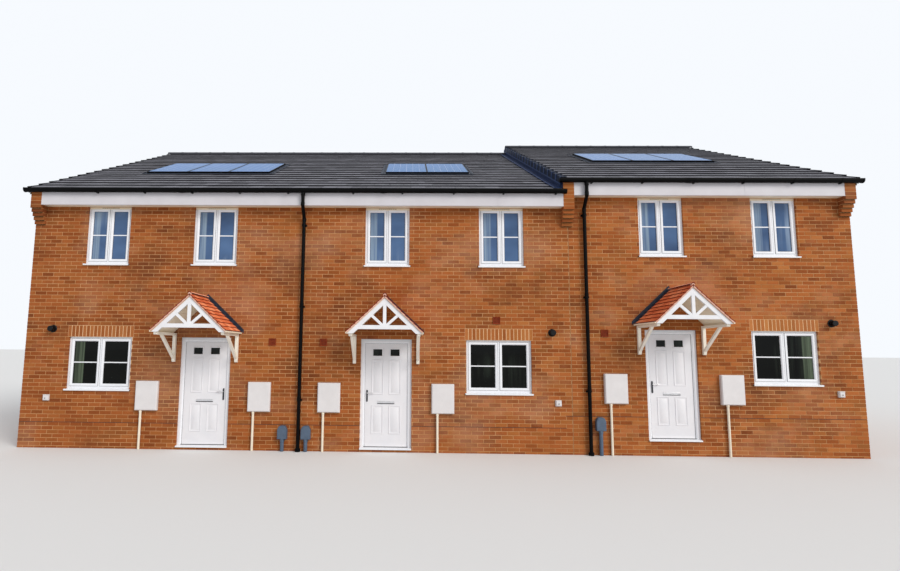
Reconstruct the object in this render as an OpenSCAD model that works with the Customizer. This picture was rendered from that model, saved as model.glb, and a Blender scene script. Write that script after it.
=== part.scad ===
// Row of three two-storey brick houses, the third one set higher, in millimetres
// X runs along the street front, Y into the building, Z up from the ground
// The origin is on the ground, under the middle of the walls

/* [Row] */
// Width of one house between the middles of its side walls
house_w = 5400; // [5000:50:6500]
// Depth of the row from front brick face to rear brick face
depth = 11500; // [9000:100:13000]
// How far the third house is set above the other two
row_step = 225; // [75:75:450]
// Height of the lower floors above the ground
floor_z = 45; // [30:5:150]
// Thickness of an outer cavity wall
wall_t = 300; // [250:10:400]
// Thickness of a wall between two houses
party_t = 300; // [200:10:400]
// Distance from the third house's boundary to the face of its raised gable
gable_shift = 225; // [160:5:400]

/* [Storeys] */
// Height of one brick course with its joint
course = 75; // [65:1:80]
// Head of doors and ground windows above the ground floor
head_z = 2100; // [2050:25:2250]
// Top of the first floor above the ground floor
storey_h = 2625; // [2500:25:2800]
// Thickness of the first floor
floor_t = 250; // [200:10:300]
// Underside of the eaves above the ground floor
soffit_z = 4725; // [4575:25:4950]
// Underside of the upper ceiling above the ground floor
ceiling_z = 4990; // [4900:10:5010]
// Thickness of the upper ceiling
ceiling_t = 90; // [50:10:100]

/* [Upper windows] */
// Width of an upper window opening
upper_w = 880; // [700:10:1000]
// Bottom of an upper window opening above the ground floor
upper_z = 3525; // [3300:25:3700]
// Middle of the near upper window from the side where the door is
near_x = 1725; // [1500:5:1900]
// Middle of the far upper window from the side where the door is
far_x = [3900, 3985, 3930]; // [3700:5:4100]

/* [Ground windows] */
// Width of a ground window opening
ground_w = 1260; // [1000:10:1400]
// Bottom of a ground window opening above the ground floor
ground_z = 1050; // [900:25:1200]
// Middle of a ground window from the side where the door is
ground_x = [3910, 3910, 3980]; // [3800:5:4050]

/* [Window frames] */
// Face width of the outer frame with its sash
frame_w = 92; // [60:2:110]
// Face width of the middle post with its two sashes
mullion_w = 136; // [80:2:160]
// Depth of a frame from front to back
frame_d = 70; // [50:5:90]
// Distance from brick face to frame face
reveal = 40; // [20:5:90]
// Thickness of a glass unit
glass_t = 24; // [16:2:32]
// Height of a window sill
sill_h = 42; // [25:1:60]
// How far a sill stands out of the wall
sill_out = 35; // [20:5:60]

/* [Doors] */
// Width of a doorway
door_w = 990; // [900:10:1100]
// Middle of a doorway from the side where the door is
door_x = [1810, 1730, 1815]; // [1650:5:1900]
// Face width of a door frame
door_frame_w = 72; // [50:2:90]
// Thickness of a door leaf
leaf_t = 44; // [35:1:60]
// Clearance between a leaf and its frame
leaf_gap = 8; // [7:1:10]
// Height of the door sill
threshold_h = 38; // [20:2:60]
// Width of one small pane at the top of a leaf
light_w = 178; // [120:2:220]
// Height of one small pane at the top of a leaf
light_h = 130; // [90:2:200]
// Distance between the two small panes
light_gap = 160; // [100:5:220]
// Top of the small panes above the ground floor
light_z = 1905; // [1800:5:1950]
// Height of the lever above the ground floor
lever_z = 1060; // [950:10:1150]
// Length of a lever
lever_l = 115; // [90:5:140]
// Thickness of a lever
lever_d = 17; // [12:1:22]
// Distance from the leaf's outer face to the middle of a lever
lever_out = 38; // [30:1:50]
// Distance from the leaf's free edge to the middle of its lever
lever_in = 48; // [35:1:70]
// Width of the plate behind a lever
plate_w = 32; // [25:1:45]
// Height of the plate behind a lever
plate_h = 230; // [180:5:260]
// How far that plate reaches above the lever
plate_rise = 60; // [40:5:90]
// Thickness of that plate
plate_d = 9; // [5:1:12]
// Width of the letter plate
letter_w = 330; // [250:10:350]
// Height of the letter plate
letter_h = 42; // [35:1:60]
// Bottom of the letter plate above the ground floor
letter_z = 865; // [700:5:1000]
// Outer diameter of a hinge knuckle
knuckle_d = 16; // [12:1:20]
// Height of one hinge knuckle
knuckle_h = 30; // [20:1:45]
// Length of a hinge plate from its pin
hinge_w = 35; // [25:1:50]
// Distance from the ends of a leaf to its outer hinges
hinge_end = 230; // [150:10:350]

/* [Roof] */
// Pitch of the main roof in degrees
roof_pitch = 26; // [20:1:32]
// Overhang of the tiles in front of the brick face
tile_out = 250; // [235:5:270]
// Top of the lowest tile edge above the ground floor
eaves_z = 5060; // [5030:5:5100]
// Thickness of the tile layer
tile_t = 35; // [25:1:50]
// Thickness of tiles, battens and rafters together
roof_t = 150; // [120:5:180]
// Overhang of the tiles beside the gables
verge_out = 50; // [30:5:80]
// Thickness of the verge strip
verge_t = 12; // [8:1:20]
// Depth of the verge strip
verge_h = 130; // [90:5:160]
// Outer radius of a ridge tile
ridge_r = 125; // [100:5:150]
// Thickness of a ridge tile
ridge_t = 15; // [10:1:20]

/* [Eaves] */
// Overhang of the fascia in front of the brick face
fascia_out = 200; // [170:5:230]
// Thickness of the fascia board
fascia_t = 20; // [12:1:30]
// Thickness of the soffit board
soffit_t = 10; // [6:1:20]
// Outer width of the gutter
gutter_w = 112; // [90:2:130]
// Outer height of the gutter
gutter_h = 80; // [70:1:85]
// Wall thickness of the gutter
gutter_t = 4; // [3:1:6]
// Drop from the underside of the tiles to the top of the gutter
gutter_drop = 14; // [8:1:30]
// How far the gutter runs past the end of the row
gutter_over = 105; // [60:5:150]
// How far the lower gutter runs past the raised gable
gutter_past = 45; // [20:5:80]
// How far the upper gutter starts before the raised gable
gutter_before = 90; // [60:5:130]
// Outer diameter of a downpipe
pipe_d = 68; // [50:2:80]
// Gap between downpipe and wall, taken up by its brackets
pipe_gap = 30; // [20:5:60]
// Height of a downpipe bracket
clip_h = 32; // [20:1:50]
// How far a downpipe bracket reaches past the pipe
clip_over = 12; // [6:1:20]
// Length of the gutter outlet above the swan neck
outlet_l = 250; // [230:5:300]
// Diameter of the socket at a bend of the pipe
bend_d = 78; // [74:1:90]
// Fall of the swan neck for each unit it runs back
neck_fall = 1.15; // [0.8:0.05:1.6]
// Downpipe of the lower houses, past the boundary of houses one and two
pipe_one_x = 65; // [0:5:150]
// Downpipe of the third house, past the boundary of houses two and three
pipe_two_x = 210; // [120:5:300]
// Width of a brick kneeler at the end of the eaves
kneeler_w = 205; // [150:5:300]
// Number of corbelled courses under a kneeler
kneeler_courses = 5; // [3:1:7]

/* [Canopies] */
// Width between the inner feet of a canopy roof
canopy_w = 1344; // [1200:2:1400]
// Width of a canopy roof over its upright tile edges
canopy_over = 1400; // [1350:10:1500]
// Pitch of a canopy roof in degrees
canopy_pitch = 43.5; // [38:0.5:50]
// Distance from brick face to the front tile edge
canopy_out = 930; // [700:10:1000]
// Feet of a canopy roof above the ground floor
canopy_z = 2180; // [2150:5:2300]
// Thickness of a canopy roof
canopy_t = 52; // [40:1:90]
// How far the tiles stand in front of the truss
truss_back = 25; // [10:5:60]
// Thickness of the truss boards
truss_t = 36; // [25:1:50]
// Width of the sloping truss boards
barge_h = 76; // [60:2:110]
// Width of the level tie of the truss
tie_h = 73; // [50:1:90]
// Height of the tie above the feet of the truss
tie_rise = 78; // [70:2:130]
// Width of the king post
king_w = 60; // [50:2:90]
// Width of the two struts
strut_w = 50; // [40:2:70]
// Lean of the struts from upright in degrees
strut_lean = 48; // [40:1:60]
// Side of the square bracket timbers
timber = 60; // [50:2:90]
// Distance from door middle to bracket middle
bracket_x = 615; // [560:5:660]
// Height of a bracket's wall post
bracket_h = 555; // [400:5:700]
// Reach of a bracket's brace from the wall
brace_out = 600; // [400:10:700]
// Thickness of the lead flashing
lead_t = 8; // [4:1:15]
// Width of the lead on the tiles
lead_w = 90; // [60:5:150]
// Height of the lead up the wall, measured across the slope
lead_rise = 50; // [30:5:100]
// How far the lead on the wall reaches past the tile edge
lead_over = 35; // [10:5:60]

/* [Wall fittings] */
// Width of a meter box
meter_w = 435; // [350:5:500]
// Height of a meter box
meter_h = 562; // [450:2:650]
// Depth of a meter box
meter_d = 80; // [60:5:220]
// Bottom of a meter box above the ground floor
meter_z = 690; // [600:10:800]
// Distance from door middle to meter box middle
meter_x = 1095; // [1000:5:1150]
// Diameter of the pipe under a meter box
meter_pipe_d = 45; // [30:1:60]
// Distance from box middle to pipe middle
meter_pipe_x = 105; // [60:5:150]
// Side of a square wall vent
vent_side = 140; // [100:5:160]
// How far a wall vent stands out
vent_out = 22; // [10:1:40]
// Height of the vents of the lower houses above the ground floor
vent_z = 2025; // [1950:5:2100]
// Height of the vent over the second house's window
vent_high_z = 2480; // [2440:5:2550]
// Outer diameter of a flue collar
flue_d = 150; // [130:5:180]
// Outer diameter of a flue pipe
flue_pipe_d = 110; // [90:5:120]
// How far a flue stands out
flue_out = 115; // [80:5:160]
// Thickness of the flue collar
collar_t = 18; // [10:1:30]
// Height of a flue above the ground floor
flue_z = 2250; // [2200:5:2400]
// Side of a small white outlet box
outlet_side = 118; // [90:2:150]
// Depth of a small white outlet box
outlet_d = 55; // [30:5:80]
// Height of an outlet box above the ground floor
outlet_z = 910; // [850:5:1000]
// Width of a grey cable entry box
entry_w = 180; // [140:5:220]
// Height of a grey cable entry box
entry_h = 250; // [200:5:300]
// Depth of a grey cable entry box
entry_d = 100; // [70:5:140]
// Bottom of a grey cable entry box above the ground floor
entry_z = 185; // [120:5:250]
// Diameter of the pipe under a grey box
entry_pipe_d = 70; // [50:2:90]

/* [Solar panels] */
// Width of one solar panel
panel_w = 960; // [900:10:1150]
// Length of one solar panel up the slope
panel_l = 1700; // [1600:10:2000]
// Thickness of a solar panel
panel_t = 40; // [30:1:50]
// Distance from tile edge to the lower panel edge, up the slope
panel_up = [2060, 2060, 2600]; // [1800:10:3000]
// Gap between two panels
panel_gap = 8; // [4:1:20]
// Width of the lead coloured tray round the panels
tray_w = 110; // [60:5:200]
// Thickness of the tray
tray_t = 6; // [3:1:10]
// Distance from the left end to the first panel of house one
array_one_x = 1390; // [1100:5:1500]
// Distance from the left end to the first panel of house two
array_two_x = 7000; // [6800:5:7200]
// Distance from the left end to the first panel of house three
array_three_x = 11945; // [11800:5:12200]

/* [Hidden] */
$fn = 48;

row_w = 3 * house_w;
// Left faces of the second house's side wall and of the raised gable
party_x = house_w - party_t / 2;
gable_x = 2 * house_w - gable_shift;
// Floor height, left inner face and right inner face of each house
floor_of = [floor_z, floor_z, floor_z + row_step];
inner_left = [wall_t, party_x + party_t, gable_x + party_t];
inner_right = [party_x, gable_x, row_w - wall_t];
// The first house is mirrored: its distances run leftwards from its right side
side_x = [house_w, house_w, 2 * house_w];
side_dir = [-1, 1, 1];
function in_house(i, x) = side_x[i] + side_dir[i] * x;
function door_left(i) = in_house(i, door_x[i]) - door_w / 2;
function door_right(i) = in_house(i, door_x[i]) + door_w / 2;
// Side on which each door's hinges are, seen from the street: -1 left, 1 right
hinge_side = [-1, 1, 1];

slope = tan(roof_pitch);
up = 1 / cos(roof_pitch);
ridge_y = depth / 2;
// Height of the tile surface over a distance y from the front brick face
function tile_top(y, base) = base + eaves_z + slope * (y + tile_out);
canopy_slope = tan(canopy_pitch);
roof_end = -fascia_out + fascia_t;
gutter_top = eaves_z - tile_t * up + slope * (tile_out - fascia_out) - gutter_drop;
leaf_w = door_w - 2 * door_frame_w - 2 * leaf_gap;
leaf_bottom = threshold_h + leaf_gap;
leaf_top = head_z - door_frame_w - leaf_gap;
// A leaf lies flush with the inner side of its frame and opens inwards
leaf_y = reveal + frame_d - leaf_t;
// The pin runs in line with the gap between leaf and frame, just inside both
hinge_play = 0.3;
hinge_t = 3;
pin_y = reveal + frame_d + hinge_play + knuckle_d / 2;
hinge_z = [leaf_bottom + hinge_end, (leaf_bottom + leaf_top) / 2, leaf_top - hinge_end];
pipe_y = -pipe_gap - pipe_d / 2;
// Brackets of a downpipe above the ground floor, and the one below its swan neck
clip_z = [900, 2700];
clip_below = 150;
// How far a ridge tile's middle lies under the meeting line of the slopes
ridge_sink = ridge_r * 0.55;
// Hair's breadth between sloping faces that rest on each other
seat = 0.2;
// Left ends and numbers of the solar panels
panel_x = [array_one_x, array_two_x, array_three_x];
panel_n = [3, 2, 3];
// Places of the wall fittings along the front
vent_x = [house_w - 500, house_w + 500, house_w + ground_x[1] - 40, 2 * house_w + 550];
vent_up = [floor_z + vent_z, floor_z + vent_z, floor_z + vent_high_z, floor_z + row_step + vent_z];
flue_x = [530, 2 * house_w - 460, row_w - 520];
outlet_x = [505, 2 * house_w - 370, row_w - 450];
entry_x = [house_w - 240, house_w + 210, 2 * house_w + 405];

brick = "#a8583a";
white = "#eef0f2";
slate = "#3a3d42";
black = "#1e1f22";

// Everything is drawn from the left end of the front brick face, then centred
module centred() {
    translate([-row_w / 2, -depth / 2, 0]) children();
}

module block(x, y, z) {
    translate([x[0], y[0], z[0]]) cube([x[1] - x[0], y[1] - y[0], z[1] - z[0]]);
}

// Outline in Y and Z, carried along X from x0 to x1
module along_x(x0, x1) {
    translate([x0, 0, 0]) rotate([90, 0, 90]) linear_extrude(x1 - x0) children();
}

// Outline in X and Z, carried along Y from y0 to y1
module along_y(y0, y1) {
    translate([0, y1, 0]) rotate([90, 0, 0]) linear_extrude(y1 - y0) children();
}

// What stands at the front, and the same turned over to the rear
module front_and_rear() {
    children();
    translate([0, depth, 0]) mirror([0, 1, 0]) children();
}

module rear_only() {
    translate([0, depth, 0]) mirror([0, 1, 0]) children();
}

// Floors and ceilings

module room_slab(i, z0, z1) {
    block([inner_left[i], inner_right[i]], [wall_t, depth - wall_t], [z0, z1]);
}

module ground_floors() {
    color("#9a9a96") centred() for (i = [0:2]) room_slab(i, 0, floor_of[i]);
}

module upper_floors() {
    color("#b9a98a") centred() for (i = [0:2])
        room_slab(i, floor_of[i] + storey_h - floor_t, floor_of[i] + storey_h);
}

module upper_ceilings() {
    color("#e4e2dc") centred() for (i = [0:2])
        room_slab(i, floor_of[i] + ceiling_z, floor_of[i] + ceiling_z + ceiling_t);
}

// Brick walls

module door_span(i, z0, z1) {
    block([door_left(i), door_right(i)], [0, wall_t], [z0, z1]);
}

module ground_hole(i) {
    x = in_house(i, ground_x[i]);
    block([x - ground_w / 2, x + ground_w / 2], [-1, wall_t + 1],
        [floor_of[i] + ground_z, floor_of[i] + head_z]);
}

// A rear wall has a window of the same size where the front has its door
module rear_door_hole(i) {
    x = in_house(i, near_x);
    block([x - ground_w / 2, x + ground_w / 2], [-1, wall_t + 1],
        [floor_of[i] + ground_z, floor_of[i] + head_z]);
}

module upper_holes(i) {
    for (off = [near_x, far_x[i]]) {
        x = in_house(i, off);
        block([x - upper_w / 2, x + upper_w / 2], [-1, wall_t + 1],
            [floor_of[i] + upper_z, floor_of[i] + soffit_z]);
    }
}

// A stretch of front wall, its top cut to the underside of the roof
module wall_slab(x0, x1, z0, base) {
    under = roof_t * up;
    along_x(x0, x1) polygon([[0, z0], [wall_t, z0],
        [wall_t, tile_top(wall_t, base) - under], [0, tile_top(0, base) - under]]);
}

module threshold_brickwork() {
    color(brick) centred() for (i = [0:2]) door_span(i, 0, floor_of[i]);
}

module front_wall_left() {
    color(brick) centred() difference() {
        block([0, door_left(0)], [0, wall_t], [0, floor_z + head_z]);
        ground_hole(0);
    }
}

module front_wall_between_doors() {
    color(brick) centred()
        block([door_right(0), door_left(1)], [0, wall_t], [0, floor_z + head_z]);
}

module front_wall_at_step() {
    color(brick) centred() difference() {
        union() {
            block([door_right(1), door_left(2)], [0, wall_t], [0, floor_z + head_z]);
            block([gable_x, door_left(2)], [0, wall_t], [0, floor_z + head_z + row_step]);
        }
        ground_hole(1);
    }
}

module front_wall_right() {
    color(brick) centred() difference() {
        block([door_right(2), row_w], [0, wall_t], [0, floor_z + head_z + row_step]);
        ground_hole(2);
    }
}

module front_wall_upper_pair() {
    color(brick) centred() difference() {
        wall_slab(0, gable_x, floor_z + head_z, floor_z);
        for (i = [0:1]) upper_holes(i);
    }
}

module front_wall_upper_third() {
    color(brick) centred() difference() {
        wall_slab(gable_x, row_w, floor_z + head_z + row_step, floor_z + row_step);
        upper_holes(2);
    }
}

module rear_wall_pair() {
    color(brick) centred() rear_only() difference() {
        wall_slab(0, gable_x, 0, floor_z);
        for (i = [0:1]) {
            upper_holes(i);
            ground_hole(i);
            rear_door_hole(i);
        }
    }
}

module rear_wall_third() {
    color(brick) centred() rear_only() difference() {
        wall_slab(gable_x, row_w, 0, floor_z + row_step);
        upper_holes(2);
        ground_hole(2);
        rear_door_hole(2);
    }
}

// A cross wall between front and rear wall, with its top under both roof slopes
module cross_wall(x0, x1, base) {
    under = roof_t * up;
    along_x(x0, x1) polygon([[wall_t, 0], [depth - wall_t, 0],
        [depth - wall_t, tile_top(wall_t, base) - under],
        [ridge_y, tile_top(ridge_y, base) - under],
        [wall_t, tile_top(wall_t, base) - under]]);
}

module gable_wall_left() {
    color(brick) centred() cross_wall(0, wall_t, floor_z);
}

module gable_wall_right() {
    color(brick) centred() cross_wall(row_w - wall_t, row_w, floor_z + row_step);
}

module party_wall_one_two() {
    color("#8f8f8a") centred() cross_wall(party_x, party_x + party_t, floor_z);
}

module party_wall_two_three() {
    color("#8f8f8a") centred() cross_wall(gable_x, gable_x + party_t, floor_z + row_step);
}

// Brick kneelers that close the ends of the eaves

module kneeler(x0, base, top_base) {
    steps = [for (i = [0:kneeler_courses - 1]) each [
        [-fascia_out * i / kneeler_courses, base + soffit_z - course * (kneeler_courses - i)],
        [-fascia_out * (i + 1) / kneeler_courses, base + soffit_z - course * (kneeler_courses - i)]
    ]];
    under = tile_t * up + seat;
    low = roof_t * up + seat;
    along_x(x0, x0 + kneeler_w) polygon(concat(steps, [
        [-fascia_out, tile_top(-fascia_out, top_base) - under],
        [roof_end - seat, tile_top(roof_end, top_base) - under],
        [roof_end - seat, tile_top(roof_end, top_base) - low],
        [0, tile_top(0, top_base) - low]]));
}

module kneelers() {
    color(brick) centred() front_and_rear() {
        kneeler(0, floor_z, floor_z);
        kneeler(gable_x, floor_z, floor_z + row_step);
        kneeler(row_w - kneeler_w, floor_z + row_step, floor_z + row_step);
    }
}

// Roof

// One slope: tiles reach over the gutter, rafters end behind the fascia
module roof_slope(x0, x1, base) {
    along_x(x0, x1) polygon([
        [-tile_out, tile_top(-tile_out, base)],
        [ridge_y, tile_top(ridge_y, base)],
        [ridge_y, tile_top(ridge_y, base) - roof_t * up],
        [roof_end, tile_top(roof_end, base) - roof_t * up],
        [roof_end, tile_top(roof_end, base) - tile_t * up],
        [-tile_out, tile_top(-tile_out, base) - tile_t * up]]);
}

module roof_front_pair() {
    color(slate) centred() roof_slope(-verge_out, gable_x, floor_z);
}

module roof_rear_pair() {
    color(slate) centred() rear_only() roof_slope(-verge_out, gable_x, floor_z);
}

module roof_front_third() {
    color(slate) centred() roof_slope(gable_x, row_w + verge_out, floor_z + row_step);
}

module roof_rear_third() {
    color(slate) centred() rear_only()
        roof_slope(gable_x, row_w + verge_out, floor_z + row_step);
}

// A run of half-round ridge tiles, bedded on both slopes
module ridge_run(x0, x1, base) {
    z = tile_top(ridge_y, base) + seat;
    along_x(x0, x1) difference() {
        translate([ridge_y, z - ridge_sink]) circle(r = ridge_r);
        translate([ridge_y, z - ridge_sink]) circle(r = ridge_r - ridge_t);
        polygon([[ridge_y - 4 * ridge_r, z - 4 * ridge_r * slope], [ridge_y, z],
            [ridge_y + 4 * ridge_r, z - 4 * ridge_r * slope],
            [ridge_y + 4 * ridge_r, z - 8 * ridge_r], [ridge_y - 4 * ridge_r, z - 8 * ridge_r]]);
    }
}

module ridge_tiles() {
    color(slate) centred() {
        ridge_run(-verge_out, gable_x - verge_out, floor_z);
        ridge_run(gable_x - verge_out + 1, row_w + verge_out, floor_z + row_step);
    }
}

// Both slopes seen from the end, from top_off above to low_off below the tile surface
// In front of the fascia it is only as deep as the tiles, so that it clears the gutter
module chevron(base, top_off, low_off) {
    y = -tile_out;
    n = -fascia_out + 2;
    thin = tile_t * up;
    polygon([
        [y, tile_top(y, base) + top_off], [ridge_y, tile_top(ridge_y, base) + top_off],
        [depth - y, tile_top(y, base) + top_off], [depth - y, tile_top(y, base) - thin],
        [depth - n, tile_top(n, base) - thin], [depth - n, tile_top(n, base) - low_off],
        [ridge_y, tile_top(ridge_y, base) - low_off],
        [n, tile_top(n, base) - low_off], [n, tile_top(n, base) - thin],
        [y, tile_top(y, base) - thin]]);
}

module verge_strips() {
    color(slate) centred() {
        along_x(-verge_out - verge_t, -verge_out) chevron(floor_z, verge_t, verge_h);
        along_x(row_w + verge_out, row_w + verge_out + verge_t)
            chevron(floor_z + row_step, verge_t, verge_h);
    }
}

// Dark cladding on the side of the raised gable, standing on the lower roof
module step_cladding() {
    color(black) centred() along_x(gable_x - verge_out, gable_x)
        chevron(floor_z + row_step, 0, row_step - seat);
}

// Eaves boards, gutters and downpipes

module eaves_board_pair(y0, y1, z0, z1) {
    block([kneeler_w, gable_x], [y0, y1], [floor_z + z0, floor_z + z1]);
    block([gable_x + kneeler_w, row_w - kneeler_w], [y0, y1],
        [floor_z + row_step + z0, floor_z + row_step + z1]);
}

module fascias() {
    top = tile_top(-fascia_out, 0) - tile_t * up;
    color(white) centred() front_and_rear()
        eaves_board_pair(-fascia_out, roof_end, soffit_z - soffit_t, top);
}

module soffits() {
    color(white) centred() front_and_rear()
        eaves_board_pair(roof_end, 0, soffit_z, soffit_z + soffit_t);
}

module gutter_profile(inset) {
    r = gutter_w / 2 - inset;
    translate([0, gutter_w / 2]) circle(r = r);
    translate([-r, gutter_w / 2]) square([2 * r, gutter_h]);
}

module gutter(x0, x1, base) {
    translate([0, -fascia_out - gutter_w / 2, base + gutter_top - gutter_h]) {
        along_x(x0, x1) difference() {
            gutter_profile(0);
            gutter_profile(gutter_t);
            translate([-gutter_w, gutter_h]) square([2 * gutter_w, gutter_w]);
        }
        for (x = [x0, x1 - gutter_t]) along_x(x, x + gutter_t) difference() {
            gutter_profile(gutter_t / 2);
            translate([-gutter_w, gutter_h]) square([2 * gutter_w, gutter_w]);
        }
    }
}

module gutters() {
    color(black) centred() front_and_rear() {
        gutter(-gutter_over, gable_x + gutter_past, floor_z);
        gutter(gable_x - gutter_before, row_w + gutter_over, floor_z + row_step);
    }
}

// Outlet under the gutter, a swan neck back to the wall, then straight down
module downpipe(x, base) {
    top = base + gutter_top - gutter_h;
    out_y = -fascia_out - gutter_w / 2;
    low = top - outlet_l - (pipe_y - out_y) * neck_fall;
    len = norm([pipe_y - out_y, top - outlet_l - low]);
    lean = atan2(pipe_y - out_y, top - outlet_l - low);
    translate([x, out_y, top - outlet_l]) {
        cylinder(d = pipe_d, h = outlet_l);
        sphere(d = bend_d);
        rotate([180 + lean, 0, 0]) cylinder(d = pipe_d, h = len);
    }
    translate([x, pipe_y, low]) sphere(d = bend_d);
    translate([x, pipe_y, 0]) cylinder(d = pipe_d, h = low);
    half = pipe_d / 2 + clip_over;
    for (z = [base + clip_z[0], base + clip_z[1], low - clip_below])
        block([x - half, x + half], [pipe_y, 0], [z, z + clip_h]);
}

module downpipes() {
    color(black) centred() front_and_rear() {
        downpipe(house_w + pipe_one_x, floor_z);
        downpipe(2 * house_w + pipe_two_x, floor_z + row_step);
    }
}

// Windows

// Frame with two lights, standing on its sill
module window_frame(x, z0, z1, w) {
    light = (w - 2 * frame_w - mullion_w) / 2;
    difference() {
        block([x - w / 2, x + w / 2], [reveal, reveal + frame_d], [z0 + sill_h, z1]);
        for (s = [-1, 1]) {
            cx = x + s * (mullion_w + light) / 2;
            block([cx - light / 2, cx + light / 2], [reveal - 1, reveal + frame_d + 1],
                [z0 + sill_h + frame_w, z1 - frame_w]);
        }
    }
}

module window_glass(x, z0, z1, w) {
    light = (w - 2 * frame_w - mullion_w) / 2;
    y = reveal + (frame_d - glass_t) / 2;
    for (s = [-1, 1]) {
        cx = x + s * (mullion_w + light) / 2;
        block([cx - light / 2, cx + light / 2], [y, y + glass_t],
            [z0 + sill_h + frame_w, z1 - frame_w]);
    }
}

module window_sill(x, z0, w) {
    block([x - w / 2, x + w / 2], [-sill_out, reveal + frame_d], [z0, z0 + sill_h]);
}

module upper_window_frames() {
    color(white) centred() front_and_rear() for (i = [0:2]) for (off = [near_x, far_x[i]])
        window_frame(in_house(i, off), floor_of[i] + upper_z, floor_of[i] + soffit_z, upper_w);
}

module upper_glass() {
    color("#7fa6c4") centred() front_and_rear() for (i = [0:2]) for (off = [near_x, far_x[i]])
        window_glass(in_house(i, off), floor_of[i] + upper_z, floor_of[i] + soffit_z, upper_w);
}

module ground_window_frames() {
    color(white) centred() {
        front_and_rear() for (i = [0:2])
            window_frame(in_house(i, ground_x[i]), floor_of[i] + ground_z, floor_of[i] + head_z, ground_w);
        rear_only() for (i = [0:2])
            window_frame(in_house(i, near_x), floor_of[i] + ground_z, floor_of[i] + head_z, ground_w);
    }
}

module ground_glass() {
    color("#39434a") centred() {
        front_and_rear() for (i = [0:2])
            window_glass(in_house(i, ground_x[i]), floor_of[i] + ground_z, floor_of[i] + head_z, ground_w);
        rear_only() for (i = [0:2])
            window_glass(in_house(i, near_x), floor_of[i] + ground_z, floor_of[i] + head_z, ground_w);
    }
}

module window_sills() {
    color(white) centred() {
        front_and_rear() for (i = [0:2]) {
            window_sill(in_house(i, ground_x[i]), floor_of[i] + ground_z, ground_w);
            for (off = [near_x, far_x[i]])
                window_sill(in_house(i, off), floor_of[i] + upper_z, upper_w);
        }
        rear_only() for (i = [0:2])
            window_sill(in_house(i, near_x), floor_of[i] + ground_z, ground_w);
    }
}

// Doors

module door_frames() {
    color(white) centred() for (i = [0:2]) {
        x = in_house(i, door_x[i]);
        inner = door_w / 2 - door_frame_w;
        difference() {
            block([x - door_w / 2, x + door_w / 2], [reveal, reveal + frame_d],
                [floor_of[i] + threshold_h, floor_of[i] + head_z]);
            block([x - inner, x + inner], [reveal - 1, reveal + frame_d + 1],
                [floor_of[i] + threshold_h - 1, floor_of[i] + head_z - door_frame_w]);
        }
    }
}

module door_sills() {
    color(white) centred() for (i = [0:2]) {
        x = in_house(i, door_x[i]);
        block([x - door_w / 2, x + door_w / 2], [-sill_out, reveal + frame_d],
            [floor_of[i], floor_of[i] + threshold_h]);
    }
}

// The two small panes of a leaf
module light_blocks(i, y0, y1) {
    x = in_house(i, door_x[i]);
    for (s = [-1, 1]) {
        cx = x + s * (light_gap + light_w) / 2;
        block([cx - light_w / 2, cx + light_w / 2], [y0, y1],
            [floor_of[i] + light_z - light_h, floor_of[i] + light_z]);
    }
}

// One knuckle with its plate, side = 1 for a plate towards the frame, -1 towards the leaf
module knuckle(i, z, side) {
    dir = hinge_side[i] * side;
    translate([in_house(i, door_x[i]) + hinge_side[i] * (leaf_w + leaf_gap) / 2, pin_y, z]) {
        cylinder(d = knuckle_d, h = knuckle_h);
        translate([dir > 0 ? 0 : -hinge_w, reveal + frame_d - pin_y, 0])
            cube([hinge_w, hinge_t, knuckle_h]);
    }
}

module door_hinges() {
    color(white) centred() for (i = [0:2], z = hinge_z, s = [-1, 1])
        knuckle(i, floor_of[i] + z + s * (knuckle_h + hinge_play) - knuckle_h / 2, 1);
}

module door_leaf(i) {
    x = in_house(i, door_x[i]);
    color(white) centred() {
        difference() {
            block([x - leaf_w / 2, x + leaf_w / 2], [leaf_y, leaf_y + leaf_t],
                [floor_of[i] + leaf_bottom, floor_of[i] + leaf_top]);
            light_blocks(i, leaf_y - 1, leaf_y + leaf_t + 1);
        }
        for (z = hinge_z) knuckle(i, floor_of[i] + z - knuckle_h / 2, -1);
    }
}

module door_leaf_1() { door_leaf(0); }
module door_leaf_2() { door_leaf(1); }
module door_leaf_3() { door_leaf(2); }

module door_lights(i) {
    color("#22282c") centred()
        light_blocks(i, leaf_y + (leaf_t - glass_t) / 2, leaf_y + (leaf_t + glass_t) / 2);
}

module door_lights_1() { door_lights(0); }
module door_lights_2() { door_lights(1); }
module door_lights_3() { door_lights(2); }

// Long backplate with its lever, and the letter plate
module door_handle(i) {
    mid = in_house(i, door_x[i]);
    x = mid - hinge_side[i] * (leaf_w / 2 - lever_in);
    z = floor_of[i] + lever_z;
    letter = floor_of[i] + letter_z;
    color("#c9ccd0") centred() {
        block([x - plate_w / 2, x + plate_w / 2], [leaf_y - plate_d, leaf_y],
            [z + plate_rise - plate_h, z + plate_rise]);
        translate([x, leaf_y - plate_d, z]) rotate([90, 0, 0])
            cylinder(d = lever_d + 1, h = lever_out - plate_d + lever_d / 3);
        translate([x, leaf_y - lever_out, z]) rotate([0, 90 * hinge_side[i], 0])
            cylinder(d = lever_d, h = lever_l);
        block([mid - letter_w / 2, mid + letter_w / 2], [leaf_y - plate_d, leaf_y],
            [letter, letter + letter_h]);
    }
}

module door_handle_1() { door_handle(0); }
module door_handle_2() { door_handle(1); }
module door_handle_3() { door_handle(2); }

// Canopies over the doors

module at_canopy(i) {
    translate([in_house(i, door_x[i]), 0, floor_of[i] + canopy_z]) children();
}

// Outline between two sloping lines, cut level at the feet
module gable_band(low, high) {
    inner = canopy_w / 2;
    up_c = 1 / cos(canopy_pitch);
    a = inner + high * up_c / canopy_slope;
    b = inner + low * up_c / canopy_slope;
    polygon([[-a, 0], [0, a * canopy_slope], [a, 0], [b, 0], [0, b * canopy_slope], [-b, 0]]);
}

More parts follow.
